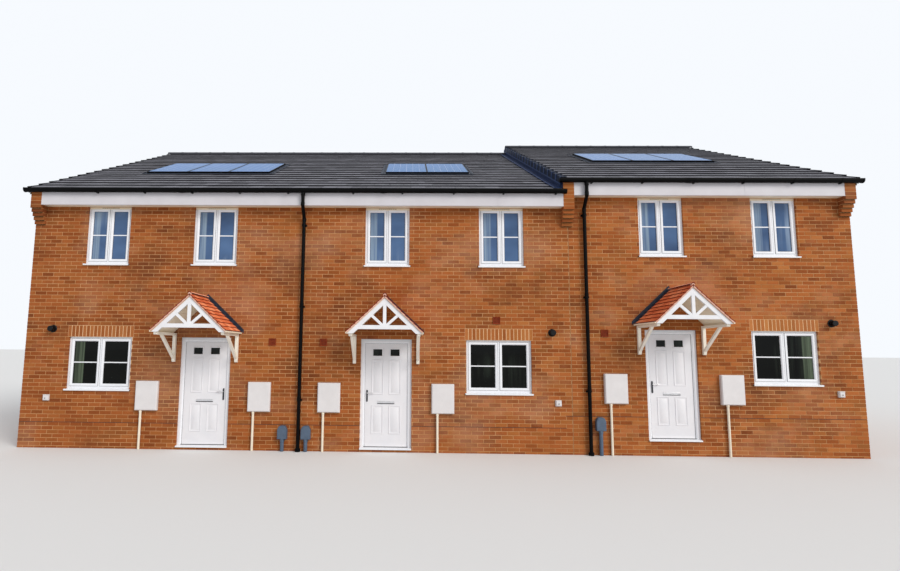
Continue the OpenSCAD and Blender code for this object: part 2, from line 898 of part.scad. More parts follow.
// The same band with upright ends, over past the roof's own edge
module canopy_band(low, high, over) {
    half = canopy_over / 2 + over;
    intersection() {
        gable_band(low, high);
        translate([-half, 0]) square([2 * half, canopy_w]);
    }
}

module canopy_roofs() {
    color("#c4623c") centred() for (i = [0:2]) at_canopy(i)
        along_y(-canopy_out, 0) canopy_band(0, canopy_t, 0);
}

// Area under the sloping boards, which trims what meets them
module under_barge() {
    a = canopy_w / 2 - barge_h / 2 / cos(canopy_pitch) / canopy_slope;
    polygon([[-a, 0], [0, a * canopy_slope], [a, 0]]);
}

// Front truss: sloping boards, level tie, king post and two struts
module canopy_truss() {
    y = -canopy_out + truss_back;
    along_y(y, y + truss_t) union() {
        gable_band(-barge_h, 0);
        intersection() {
            under_barge();
            union() {
                translate([-canopy_w / 2, tie_rise]) square([canopy_w, tie_h]);
                translate([-king_w / 2, tie_rise]) square([king_w, canopy_w]);
                for (s = [-1, 1]) translate([0, tie_rise + tie_h / 2]) rotate(-s * strut_lean)
                    translate([-strut_w / 2, 0]) square([strut_w, canopy_w / 2]);
            }
        }
    }
}

module canopy_trusses() {
    color(white) centred() for (i = [0:2]) at_canopy(i) canopy_truss();
}

// Gallows bracket: wall post, arm under the roof foot, and brace
module gallows_bracket() {
    front = -canopy_out + truss_back + truss_t;
    arm = timber * 0.8;
    brace_low = -bracket_h + timber * 1.4;
    rise = -arm - brace_low;
    run = brace_out - timber;
    lean = atan2(run, rise);
    along_x(-timber / 2, timber / 2) union() {
        translate([-timber, -bracket_h]) square([timber, bracket_h]);
        translate([front, -arm]) square([-front, arm]);
        intersection() {
            translate([front, -bracket_h]) square([-front - 1, bracket_h - 1]);
            translate([-timber, brace_low]) rotate(lean)
                translate([-timber * 0.4, -timber]) square([timber * 0.8, norm([run, rise]) + 2 * timber]);
        }
    }
}

module canopy_brackets() {
    color(white) centred() for (i = [0:2], s = [-1, 1]) at_canopy(i)
        translate([s * bracket_x, 0, 0]) gallows_bracket();
}

// Lead dressed up the wall and over the last tiles
module canopy_flashings() {
    color("#3c4148") centred() for (i = [0:2]) at_canopy(i) {
        along_y(-lead_t, 0) canopy_band(canopy_t, canopy_t + lead_rise, lead_over);
        along_y(-lead_w, -lead_t) canopy_band(canopy_t, canopy_t + lead_t, 0);
    }
}

// Fittings on the front wall

module meter_boxes() {
    color(white) centred() for (i = [0:2], s = [-1, 1]) {
        x = in_house(i, door_x[i]) + s * meter_x;
        z = floor_of[i] + meter_z;
        block([x - meter_w / 2, x + meter_w / 2], [-meter_d, 0], [z, z + meter_h]);
        translate([x - meter_pipe_x, -meter_d / 2, 0]) cylinder(d = meter_pipe_d, h = z);
    }
}

module wall_vent(x, z) {
    block([x - vent_side / 2, x + vent_side / 2], [-vent_out, 0], [z - vent_side / 2, z + vent_side / 2]);
}

module wall_vents() {
    color("#b0603f") centred() for (k = [0:3]) wall_vent(vent_x[k], vent_up[k]);
}

module flue(x, z) {
    translate([x, 0, z]) rotate([90, 0, 0]) {
        cylinder(d = flue_d, h = collar_t);
        difference() {
            cylinder(d = flue_pipe_d, h = flue_out);
            translate([0, 0, 2 * collar_t]) cylinder(d = flue_pipe_d - collar_t, h = flue_out);
        }
    }
}

module flue_terminals() {
    color(black) centred() for (i = [0:2]) flue(flue_x[i], floor_of[i] + flue_z);
}

module outlet_box(x, z) {
    block([x - outlet_side / 2, x + outlet_side / 2], [-outlet_d, 0],
        [z - outlet_side / 2, z + outlet_side / 2]);
}

module outlet_boxes() {
    color(white) centred() for (i = [0:2]) outlet_box(outlet_x[i], floor_of[i] + outlet_z);
}

module cable_entry_box(x, base) {
    z = base + entry_z;
    block([x - entry_w / 2, x + entry_w / 2], [-entry_d, 0], [z, z + entry_h]);
    translate([x, -entry_d / 2, 0]) cylinder(d = entry_pipe_d, h = z);
}

module cable_entry_boxes() {
    color("#8c959e") centred() for (k = [0:2]) cable_entry_box(entry_x[k], floor_of[k]);
}

// Solar panels on the front slopes

// Place at the tile edge, turned so that Y runs up the slope and Z out of it
module on_slope(x, base) {
    translate([x, -tile_out, base + eaves_z]) rotate([roof_pitch, 0, 0]) children();
}

module solar_panels() {
    color("#26384c") centred() for (i = [0:2]) on_slope(panel_x[i], floor_of[i])
        for (k = [0:panel_n[i] - 1])
            translate([k * (panel_w + panel_gap), panel_up[i], tray_t + seat])
                cube([panel_w, panel_l, panel_t]);
}

module panel_trays() {
    color("#3c4148") centred() for (i = [0:2]) {
        w = panel_n[i] * (panel_w + panel_gap) - panel_gap;
        on_slope(panel_x[i], floor_of[i]) translate([-tray_w, panel_up[i] - tray_w, seat])
            cube([w + 2 * tray_w, panel_l + 2 * tray_w, tray_t]);
    }
}

ground_floors();
upper_floors();
upper_ceilings();
threshold_brickwork();
front_wall_left();
front_wall_between_doors();
front_wall_at_step();
front_wall_right();
front_wall_upper_pair();
front_wall_upper_third();
rear_wall_pair();
rear_wall_third();
gable_wall_left();
gable_wall_right();
party_wall_one_two();
party_wall_two_three();
roof_front_pair();
roof_rear_pair();
roof_front_third();
roof_rear_third();
ridge_tiles();
verge_strips();
step_cladding();
kneelers();
fascias();
soffits();
gutters();
downpipes();
upper_window_frames();
ground_window_frames();
upper_glass();
ground_glass();
window_sills();
door_frames();
door_sills();
door_hinges();
door_leaf_1();
door_leaf_2();
door_leaf_3();
door_lights_1();
door_lights_2();
door_lights_3();
door_handle_1();
door_handle_2();
door_handle_3();
canopy_roofs();
canopy_trusses();
canopy_brackets();
canopy_flashings();
meter_boxes();
wall_vents();
flue_terminals();
outlet_boxes();
cable_entry_boxes();
solar_panels();
panel_trays();
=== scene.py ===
"""Looks of the terraced house row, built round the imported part.

Shapes are gathered in front coordinates: millimetres from the left end of the front brick face,
x along the street front, y into the building, z up from the ground.
"""
import math

import bmesh
import bpy
import numpy as np
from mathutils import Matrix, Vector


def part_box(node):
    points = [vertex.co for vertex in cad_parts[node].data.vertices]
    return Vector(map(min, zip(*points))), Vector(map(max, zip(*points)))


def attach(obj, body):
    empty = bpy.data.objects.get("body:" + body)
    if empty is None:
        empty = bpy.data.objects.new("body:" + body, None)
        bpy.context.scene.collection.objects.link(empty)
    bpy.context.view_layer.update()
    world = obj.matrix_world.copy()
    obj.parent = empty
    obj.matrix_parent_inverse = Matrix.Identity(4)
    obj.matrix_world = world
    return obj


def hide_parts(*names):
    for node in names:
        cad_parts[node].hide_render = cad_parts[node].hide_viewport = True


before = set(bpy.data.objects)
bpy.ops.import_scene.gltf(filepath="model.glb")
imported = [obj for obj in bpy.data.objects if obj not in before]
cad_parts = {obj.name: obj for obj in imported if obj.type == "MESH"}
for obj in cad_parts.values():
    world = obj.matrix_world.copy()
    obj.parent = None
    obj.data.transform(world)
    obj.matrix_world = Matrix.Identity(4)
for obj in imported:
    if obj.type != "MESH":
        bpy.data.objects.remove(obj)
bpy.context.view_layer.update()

# Sizes shared with the part's source, in millimetres
HOUSE, DEPTH, STEP, GABLE_SHIFT = 5400, 11500, 225, 225
ROW, GABLE = 3 * HOUSE, 2 * HOUSE - GABLE_SHIFT
# Ground floor of the first two houses and of the third
LOW, HIGH = 45, 270
FLOORS = (LOW, LOW, HIGH)
# Where each house's offsets start, which way they run, and the side of each door's hinges
SIDE, TURN, HINGE = (HOUSE, HOUSE, 2 * HOUSE), (-1, 1, 1), (-1, 1, 1)
COURSE, HEAD, SOFFIT = 75, 2100, 4725
UPPER_W, UPPER_Z, NEAR, FAR = 880, 3525, 1725, (3900, 3985, 3930)
GROUND_W, GROUND_Z, GROUND_X = 1260, 1050, (3910, 3910, 3980)
FRAME_W, MULLION, FRAME_D, REVEAL, SILL_H = 92, 136, 70, 40, 42
DOOR_W, DOOR_X, DOOR_FRAME, LEAF_T, LEAF_GAP, THRESHOLD = 990, (1810, 1730, 1815), 72, 44, 8, 38
LIGHT_W, LIGHT_H, LIGHT_GAP, LIGHT_Z = 178, 130, 160, 1905
LEVER_Z, LEVER_IN, LETTER_HALF, LETTER_H, LETTER_Z = 1060, 48, 165, 42, 865
HINGE_W, HINGE_END, KNUCKLE = 35, 230, 15
PITCH, TILE_OUT, EAVES, TILE_T, ROOF_T = math.radians(26), 250, 5060, 35, 150
VERGE_OUT, VERGE_T, VERGE_H, RIDGE_R = 50, 12, 130, 125
FASCIA_OUT, FASCIA_T, SOFFIT_T, KNEELER_W, KNEELER_STEPS = 200, 20, 10, 205, 5
GUTTER_W, GUTTER_H, GUTTER_OVER, GUTTER_DROP, GUTTER_PAST, GUTTER_BEFORE = 112, 80, 105, 14, 45, 90
PIPE_X, PIPE_Y, OUTLET, NECK_FALL, CLIP_H = (HOUSE + 65, 2 * HOUSE + 210), -64, 250, 1.15, 32
CANOPY_W, CANOPY_PITCH, CANOPY_OUT, CANOPY_Z, CANOPY_T = 1344, math.radians(43.5), 930, 2180, 52
CANOPY_OVER, BRACKET_X = 1400, 615
METER_X, METER_Z, METER_HALF, METER_H, METER_PIPE = 1095, 690, 217, 562, 105
PANEL_W, PANEL_L, PANEL_STEP, TRAY = 960, 1700, 968, 110
SLOPE, UP = math.tan(PITCH), 1 / math.cos(PITCH)
RIDGE_Y = DEPTH / 2
LEAF_W = DOOR_W - 2 * DOOR_FRAME - 2 * LEAF_GAP
LEAF_Y, LEAF_LOW, LEAF_TOP = REVEAL + FRAME_D - LEAF_T, THRESHOLD + LEAF_GAP, HEAD - DOOR_FRAME - LEAF_GAP
# Both faces of a door leaf, with the way out of each
LEAF_FACES = ((-1, LEAF_Y), (1, LEAF_Y + LEAF_T))
GUTTER_TOP = EAVES - TILE_T * UP + SLOPE * (TILE_OUT - FASCIA_OUT) - GUTTER_DROP
GUTTER_Y = -FASCIA_OUT - GUTTER_W / 2

rng = np.random.default_rng(7)


def in_house(i, x):
    return SIDE[i] + TURN[i] * x


def door_x(i):
    return in_house(i, DOOR_X[i])


def tile_top(y, base):
    return base + EAVES + SLOPE * (y + TILE_OUT)


def board_top(base):
    """Top of the fascia."""
    return tile_top(-FASCIA_OUT, base) - TILE_T * UP


def about(middle, half):
    return middle - half, middle + half


def corners(x, z, inset=0):
    """Corners of a rectangle, moved in by inset."""
    x0, x1, z0, z1 = x[0] + inset, x[1] - inset, z[0] + inset, z[1] - inset
    return [(x0, z0), (x1, z0), (x1, z1), (x0, z1)]


def closed_faces(n):
    """Sides and both ends of a solid between two outlines of n points."""
    sides = [(i, (i + 1) % n, (i + 1) % n + n, i + n) for i in range(n)]
    return sides + [tuple(range(n))[::-1], tuple(range(n, 2 * n))]


BOX_FACES = ((0, 3, 2, 1), (4, 5, 6, 7), (0, 1, 5, 4), (1, 2, 6, 5), (2, 3, 7, 6), (3, 0, 4, 7))


class Shape:
    """Points and faces gathered from simple closed solids, with a tone (three numbers) for each."""

    def __init__(self):
        self.points, self.faces, self.tones, self.count = [], [], [], 0

    def add(self, points, faces, tone=None):
        tone = rng.random(3) if tone is None else tone
        self.points.append(np.asarray(points, float).reshape(-1, 3))
        self.faces += [tuple(int(i) + self.count for i in f) for f in faces]
        self.tones += [tone] * len(faces)
        self.count += len(self.points[-1])
        return self

    def box(self, x, y, z, tone=None):
        xs, ys, zs = sorted(x), sorted(y), sorted(z)
        points = [(xs[a], ys[b], zs[c]) for c in (0, 1) for a, b in ((0, 0), (1, 0), (1, 1), (0, 1))]
        return self.add(points, BOX_FACES, tone)

    def prism(self, outline, place, start, end, tone=None):
        """Closed outline of pairs; place(a, b, t) gives the point at t from start to end."""
        points = [place(a, b, t) for t in (start, end) for a, b in outline]
        return self.add(points, closed_faces(len(outline)), tone)

    def along_x(self, outline, x0, x1, tone=None):
        return self.prism(outline, lambda y, z, x: (x, y, z), x0, x1, tone)

    def along_y(self, outline, y0, y1, tone=None):
        return self.prism(outline, lambda x, z, y: (x, y, z), y0, y1, tone)

    def plate(self, place, v, w, u):
        """Flat plate on a slope, from its reach up the slope, out of it and along it."""
        return self.prism([(v[0], w[0]), (v[1], w[0]), (v[1], w[1]), (v[0], w[1])], place, *u)

    def rod(self, a, b, radius, sides=16, tone=None, end_radius=None):
        """Round rod from a to b."""
        a, b = np.array(a, float), np.array(b, float)
        axis = (b - a) / np.linalg.norm(b - a)
        side = np.cross(axis, (0, 0, 1) if abs(axis[2]) < 0.9 else (1, 0, 0))
        side /= np.linalg.norm(side)
        turn = 2 * math.pi * np.arange(sides) / sides
        ring = np.outer(np.cos(turn), side) + np.outer(np.sin(turn), np.cross(axis, side))
        points = np.vstack([a + ring * radius, b + ring * (end_radius or radius)])
        return self.add(points, closed_faces(sides), tone)

    def stub(self, at, depths, radius, sides, end_radius=None):
        """Round rod out of the wall at the pair x, z, between two depths."""
        (x, z), (y0, y1) = at, depths
        return self.rod((x, y0, z), (x, y1, z), radius, sides, end_radius=end_radius)

    def post(self, at, heights, radius, sides, tone=None):
        """Upright round post at the pair x, y, between two heights."""
        return self.rod((*at, heights[0]), (*at, heights[1]), radius, sides, tone)

    def taper(self, x, y, z, low_inset, high_inset, tone):
        """Block from y[0] to y[1] that is narrower at its far end."""
        points = [(a, y[0], b) for a, b in corners(x, z, low_inset)]
        points += [(a, y[1], b) for a, b in corners(x, z, high_inset)]
        return self.add(points, closed_faces(4), tone)

    def ring(self, x, z, profile, tone=None, open_foot=False):
        """Mitred frame round the rectangle x, z. The closed profile gives pairs (inset, y)."""
        points, faces, n = [], [], len(profile)
        for inset, y in profile:
            foot = z[0] - inset if open_foot else z[0]
            points += [(a, y, b) for a, b in corners(x, (foot, z[1]), inset)]
        for k in range(n):
            m = (k + 1) % n
            faces += [(4 * k + s, 4 * k + (s + 1) % 4, 4 * m + (s + 1) % 4, 4 * m + s)
                      for s in range(1 if open_foot else 0, 4)]
        if open_foot:
            faces += [tuple(4 * k for k in range(n)), tuple(4 * k + 1 for k in range(n))]
        return self.add(points, faces, tone)

    def join(self, other):
        """Adds the solids of another shape, tones kept."""
        self.faces += [tuple(i + self.count for i in f) for f in other.faces]
        self.points += other.points
        self.tones += other.tones
        self.count += other.count
        return self

    def flipped(self):
        """Turns what was made at the front over to the rear."""
        for points in self.points:
            points[:, 1] = DEPTH - points[:, 1]
        return self

    def mirrored(self):
        """Adds the same solids again, turned over to the rear."""
        rear = np.vstack(self.points)
        rear[:, 1] = DEPTH - rear[:, 1]
        self.faces += [tuple(i + self.count for i in f[::-1]) for f in self.faces]
        self.points.append(rear)
        self.tones += list(self.tones)
        self.count *= 2
        return self

    def piece(self, name, look, body="row", replaces=(), slot=None, bevel=0, smooth=0):
        """Makes the object, in metres in the row's frame."""
        points = (np.vstack(self.points) - (ROW / 2, DEPTH / 2, 0)) / 1000
        mesh = bpy.data.meshes.new(name)
        mesh.from_pydata(points.tolist(), [], self.faces)
        tones = np.repeat(np.array(self.tones, float), [len(f) for f in self.faces], axis=0)
        shade = mesh.attributes.new("tone", "FLOAT_COLOR", "CORNER")
        shade.data.foreach_set("color", np.hstack([tones, np.ones((len(tones), 1))]).ravel())
        bm = bmesh.new()
        bm.from_mesh(mesh)
        bmesh.ops.recalc_face_normals(bm, faces=bm.faces)
        bm.to_mesh(mesh)
        bm.free()
        obj = bpy.data.objects.new(name, mesh)
        bpy.context.scene.collection.objects.link(obj)
        mesh.materials.append(LOOKS[look])
        if smooth:
            make_smooth(mesh, smooth)
        if bevel:
            edge = obj.modifiers.new("edges", "BEVEL")
            edge.width, edge.segments, edge.limit_method = bevel / 1000, 2, "ANGLE"
            edge.angle_limit = math.radians(30)
            edge.use_clamp_overlap = True
        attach(obj, body)
        if replaces:
            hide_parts(*replaces)
        return obj


def make_smooth(mesh, angle):
    mesh.polygons.foreach_set("use_smooth", [True] * len(mesh.polygons))
    mesh.set_sharp_from_angle(angle=math.radians(angle))


def both_faces(make):
    """What make(rear) gives for the front and for the rear, in one shape."""
    return make(False).join(make(True).flipped())


# Materials


def colour(text):
    """Linear colour from the usual six-figure form."""
    parts = [int(text[i:i + 2], 16) / 255 for i in (0, 2, 4)]
    return [c / 12.92 if c <= 0.04045 else ((c + 0.055) / 1.055) ** 2.4 for c in parts] + [1]


class Look:
    """A node material with a few short ways to add nodes."""

    def __init__(self, name, rough=0.6, metal=0.0, specular=0.5, coat=0.0, coat_rough=0.1):
        self.mat = bpy.data.materials.new(name)
        self.mat.use_nodes = True
        self.tree = self.mat.node_tree
        self.shader = self.tree.nodes["Principled BSDF"]
        for key, value in (("Roughness", rough), ("Metallic", metal), ("Specular IOR Level", specular),
                           ("Coat Weight", coat), ("Coat Roughness", coat_rough)):
            self.shader.inputs[key].default_value = value
        coordinates = self.add("TexCoord", {})
        self.place, self.normal, self.relief = coordinates["Object"], coordinates["Normal"], None

    def put(self, value, socket):
        if isinstance(value, bpy.types.NodeSocket):
            self.tree.links.new(value, socket)
        else:
            socket.default_value = colour(value) if isinstance(value, str) else value

    def add(self, kind, inputs, **settings):
        """Outputs of a new node. Each input is a value, a colour's text or the socket that feeds it."""
        node = self.tree.nodes.new("ShaderNode" + kind)
        for key, value in settings.items():
            setattr(node, key, value)
        for key, value in inputs.items():
            self.put(value, node.inputs[key])
        return node.outputs

    def noise(self, scale, detail=4, rough=0.55, stretch=(1, 1, 1)):
        place = self.add("Mapping", {"Scale": stretch, "Vector": self.place})["Vector"]
        inputs = {"Vector": place, "Scale": scale, "Detail": detail, "Roughness": rough}
        return self.add("TexNoise", inputs)["Fac"]

    def tone(self, channel):
        tone = self.add("Attribute", {}, attribute_name="tone")["Color"]
        return self.add("SeparateColor", {"Color": tone})[channel]

    def axis(self, channel):
        return self.add("SeparateXYZ", {"Vector": self.place})[channel]

    def facing(self):
        """How much the surface faces up: 1 for level, 0 for upright, below 0 for an underside."""
        return self.add("SeparateXYZ", {"Vector": self.normal})["Z"]

    def math(self, op, a, b=0.0):
        return self.add("Math", {0: a, 1: b}, operation=op)[0]

    def times(self, a, b):
        return self.math("MULTIPLY", a, b)

    def spread(self, value, low, high, to_low=0.0, to_high=1.0):
        return self.add("MapRange", {"Value": value, "From Min": low, "From Max": high,
                                     "To Min": to_low, "To Max": to_high}, clamp=True)["Result"]

    def ramp(self, value, stops):
        node = self.tree.nodes.new("ShaderNodeValToRGB")
        elements = node.color_ramp.elements
        while len(elements) < len(stops):
            elements.new(0.5)
        for element, (place, tint) in zip(elements, stops):
            element.position, element.color = place, colour(tint)
        self.put(value, node.inputs["Fac"])
        return node.outputs["Color"]

    def mix(self, share, a, b):
        return self.add("Mix", {"Factor": share, 6: a, 7: b}, data_type="RGBA")[2]

    def tinted(self, tint, value, low, high, share, other):
        """The tint with up to that share of another, as the value goes from low to high."""
        return self.mix(self.spread(value, low, high, 0, share), tint, other)

    def two_tones(self, tone_share, noise, noise_share):
        """Sum of the solid's own tone and of a noise, each with its share."""
        return self.math("ADD", self.times(self.tone("Red"), tone_share), self.times(noise, noise_share))

    def bump(self, height, distance):
        """Adds relief of that height in millimetres."""
        before = {} if self.relief is None else {"Normal": self.relief}
        self.relief = self.add("Bump", {"Height": height, "Distance": distance / 1000, **before})["Normal"]
        self.put(self.relief, self.shader.inputs["Normal"])

    def done(self, tint, rough=None):
        self.put(tint, self.shader.inputs["Base Color"])
        if rough is not None:
            self.put(rough, self.shader.inputs["Roughness"])
        return self.mat


def brick_look(name, dark, low, mid, high, soot, soiled):
    """Facing brick: a tone for each, large sooty and pale patches, dark specks and a rough skin."""
    look = Look(name, rough=0.9, specular=0.2)
    shade = look.two_tones(0.62, look.noise(2.2, 3), 0.4)
    tint = look.ramp(shade, ((0.06, dark), (0.24, low), (0.6, mid), (0.95, high)))
    # Golden bricks here and there, and a slow change to darker ones at the left end
    tint = look.tinted(tint, look.tone("Green"), 0.5, 0.95, 0.24, "c08748")
    tint = look.mix(look.spread(look.axis("X"), -8, 6, 0.3, 0), tint, "7c3d1a")
    haze = look.noise(0.62, 5, 0.62, (1, 1, 1.3))
    tint = look.tinted(tint, haze, 0.5, 0.68, 0.36 * soiled, "bd9478")
    patch = look.noise(0.8, 5, 0.6, (1, 1, 1.5))
    tint = look.tinted(tint, patch, 0.52, 0.68, 0.6 * soiled, soot)
    speck = look.spread(look.noise(160, 3, 0.7), 0.42, 0.68)
    tint = look.mix(look.times(speck, 0.25), tint, dark)
    tint = look.tinted(tint, look.noise(26, 4, 0.7), 0.6, 0.8, 0.2, "d09a6c")
    look.bump(look.noise(110, 5, 0.7), 1.6)
    look.bump(look.noise(30, 3, 0.6), 1.5)
    return look.done(tint)


def wall_look():
    """Mortar outside, plaster inside."""
    look = Look("wall", rough=0.92, specular=0.2)
    mortar = look.ramp(look.noise(1.7, 5, 0.65), ((0.36, "b3804f"), (0.64, "d6a878")))
    mortar = look.tinted(mortar, look.noise(240, 2), 0.4, 0.7, 0.25, "a87c54")
    plaster = look.ramp(look.noise(3, 3), ((0.3, "d2cfc8"), (0.7, "dedbd5")))
    inside = [look.math("LESS_THAN", look.math("ABSOLUTE", look.axis(axis)), size / 2000 - 0.112)
              for axis, size in (("Y", DEPTH), ("X", ROW))]
    look.bump(look.noise(180, 4, 0.7), 1.0)
    return look.done(look.mix(look.times(*inside), mortar, plaster))


def plain_look(name, dark, light, rough, scale=12.0, bump=0.0, bump_scale=200.0, **sockets):
    """A moulded or painted surface: slow change of colour, fine relief, uneven gloss."""
    look = Look(name, rough=rough, **sockets)
    tint = look.ramp(look.noise(scale, 4, 0.6), ((0.3, dark), (0.72, light)))
    tint = look.mix(look.times(look.tone("Red"), 0.25), tint, dark)
    if bump:
        look.bump(look.noise(bump_scale, 4, 0.6), bump)
    gloss = look.spread(look.noise(scale * 2.3, 3), 0.3, 0.7, rough - 0.05, min(1, rough + 0.07))
    return look.done(tint, gloss)


def tile_look(name, dark, mid, light, edge, nose, rough=0.72):
    """Tiles: a tone for each, streaks down the slope, a painted highlight on the edge over a painted shadow
    on the nose, and grain.
    """
    look = Look(name, rough=rough, specular=0.08)
    tint = look.ramp(look.two_tones(0.6, look.noise(3, 4), 0.4), ((0.1, dark), (0.5, mid), (0.9, light)))
    tint = look.tinted(tint, look.noise(7, 4, 0.6, (1, 0.18, 0.18)), 0.5, 0.8, 0.5, dark)
    tint = look.tinted(tint, look.noise(300, 2, 0.6), 0.55, 0.75, 0.35, light)
    # Steep faces such as the chamfer at each foot get a painted highlight; upright and downward faces, the
    # noses, get a painted shadow
    tint = look.tinted(tint, look.facing(), 0.72, 0.6, 1.0, edge)
    tint = look.tinted(tint, look.facing(), 0.2, 0.1, 1.0, nose)
    look.bump(look.noise(220, 4, 0.65), 0.8)
    return look.done(tint)


def timber_look(name, low, high):
    """Painted timber with its grain."""
    look = Look(name, rough=0.42, specular=0.4)
    grain = look.noise(16, 5, 0.7, (7, 1, 1))
    tint = look.ramp(look.noise(5, 4), ((0.3, low), (0.7, high)))
    tint = look.tinted(tint, grain, 0.56, 0.8, 0.2, "cfcbc4")
    look.bump(grain, 0.5)
    look.bump(look.noise(90, 3), 0.3)
    return look.done(tint)


# Middle of each curtain along the row, in metres, and half its width
CURTAINS = ((-7.04, 0.1), (-4.88, 0.08), (-0.53, 0.08), (4.88, 0.08), (7.13, 0.1))
UPPER_CURTAINS = tuple((x, 0.075) for x in (-6.87, -4.7, -1.25, 1.02, 4.15, 6.36))


def glass_look(name, low, high, cloud, folds, specular, curtains=(), cloth_tint="667460"):
    """Window glass: gloss over a deep tint that paints the room behind it in shade, and where the tint is
    blue a painted reflection of the sky, with the folds of a curtain.
    """
    look = Look(name, rough=0.03, specular=specular, coat_rough=0.01)
    # Slow patches between the two tints: painted shade of the room behind, and in blue glass painted
    # reflection of the sky and clouds
    tint = look.ramp(look.noise(0.9, 3, 0.5, (1, 1, 1.6)), ((0.3, low), (0.7, high)))
    cloth = look.spread(look.noise(14, 2, 0.5, (1, 1, 0.04)), 0.4, 0.7)
    place = look.spread(look.noise(1.1, 2, 0.4, (1, 1, 0.5)), 0.5, 0.6, 0, folds)
    tint = look.mix(look.times(cloth, place), tint, cloud)
    for middle, half in curtains:
        off = look.math("ABSOLUTE", look.math("ADD", look.axis("X"), -middle))
        share = look.spread(off, half, half - 0.02, 0, 0.75)
        fold = look.spread(look.noise(30, 2, 0.5, (1, 1, 0.02)), 0.35, 0.7, 0.3, 1)
        tint = look.mix(look.times(share, fold), tint, cloth_tint)
    look.bump(look.noise(2.5, 1), 0.6)
    return look.done(tint)


def panel_look():
    """Dark blue cells under glass, which turn sky blue when seen along the slope."""
    look = Look("solar_cells", rough=0.12, metal=1.0)
    look.shader.inputs["Specular Tint"].default_value = (0.4, 0.64, 1, 1)
    tint = look.ramp(look.noise(1.2, 2), ((0.3, "183066"), (0.7, "20408a")))
    return look.done(look.mix(look.times(look.tone("Red"), 0.5), tint, "142650"))


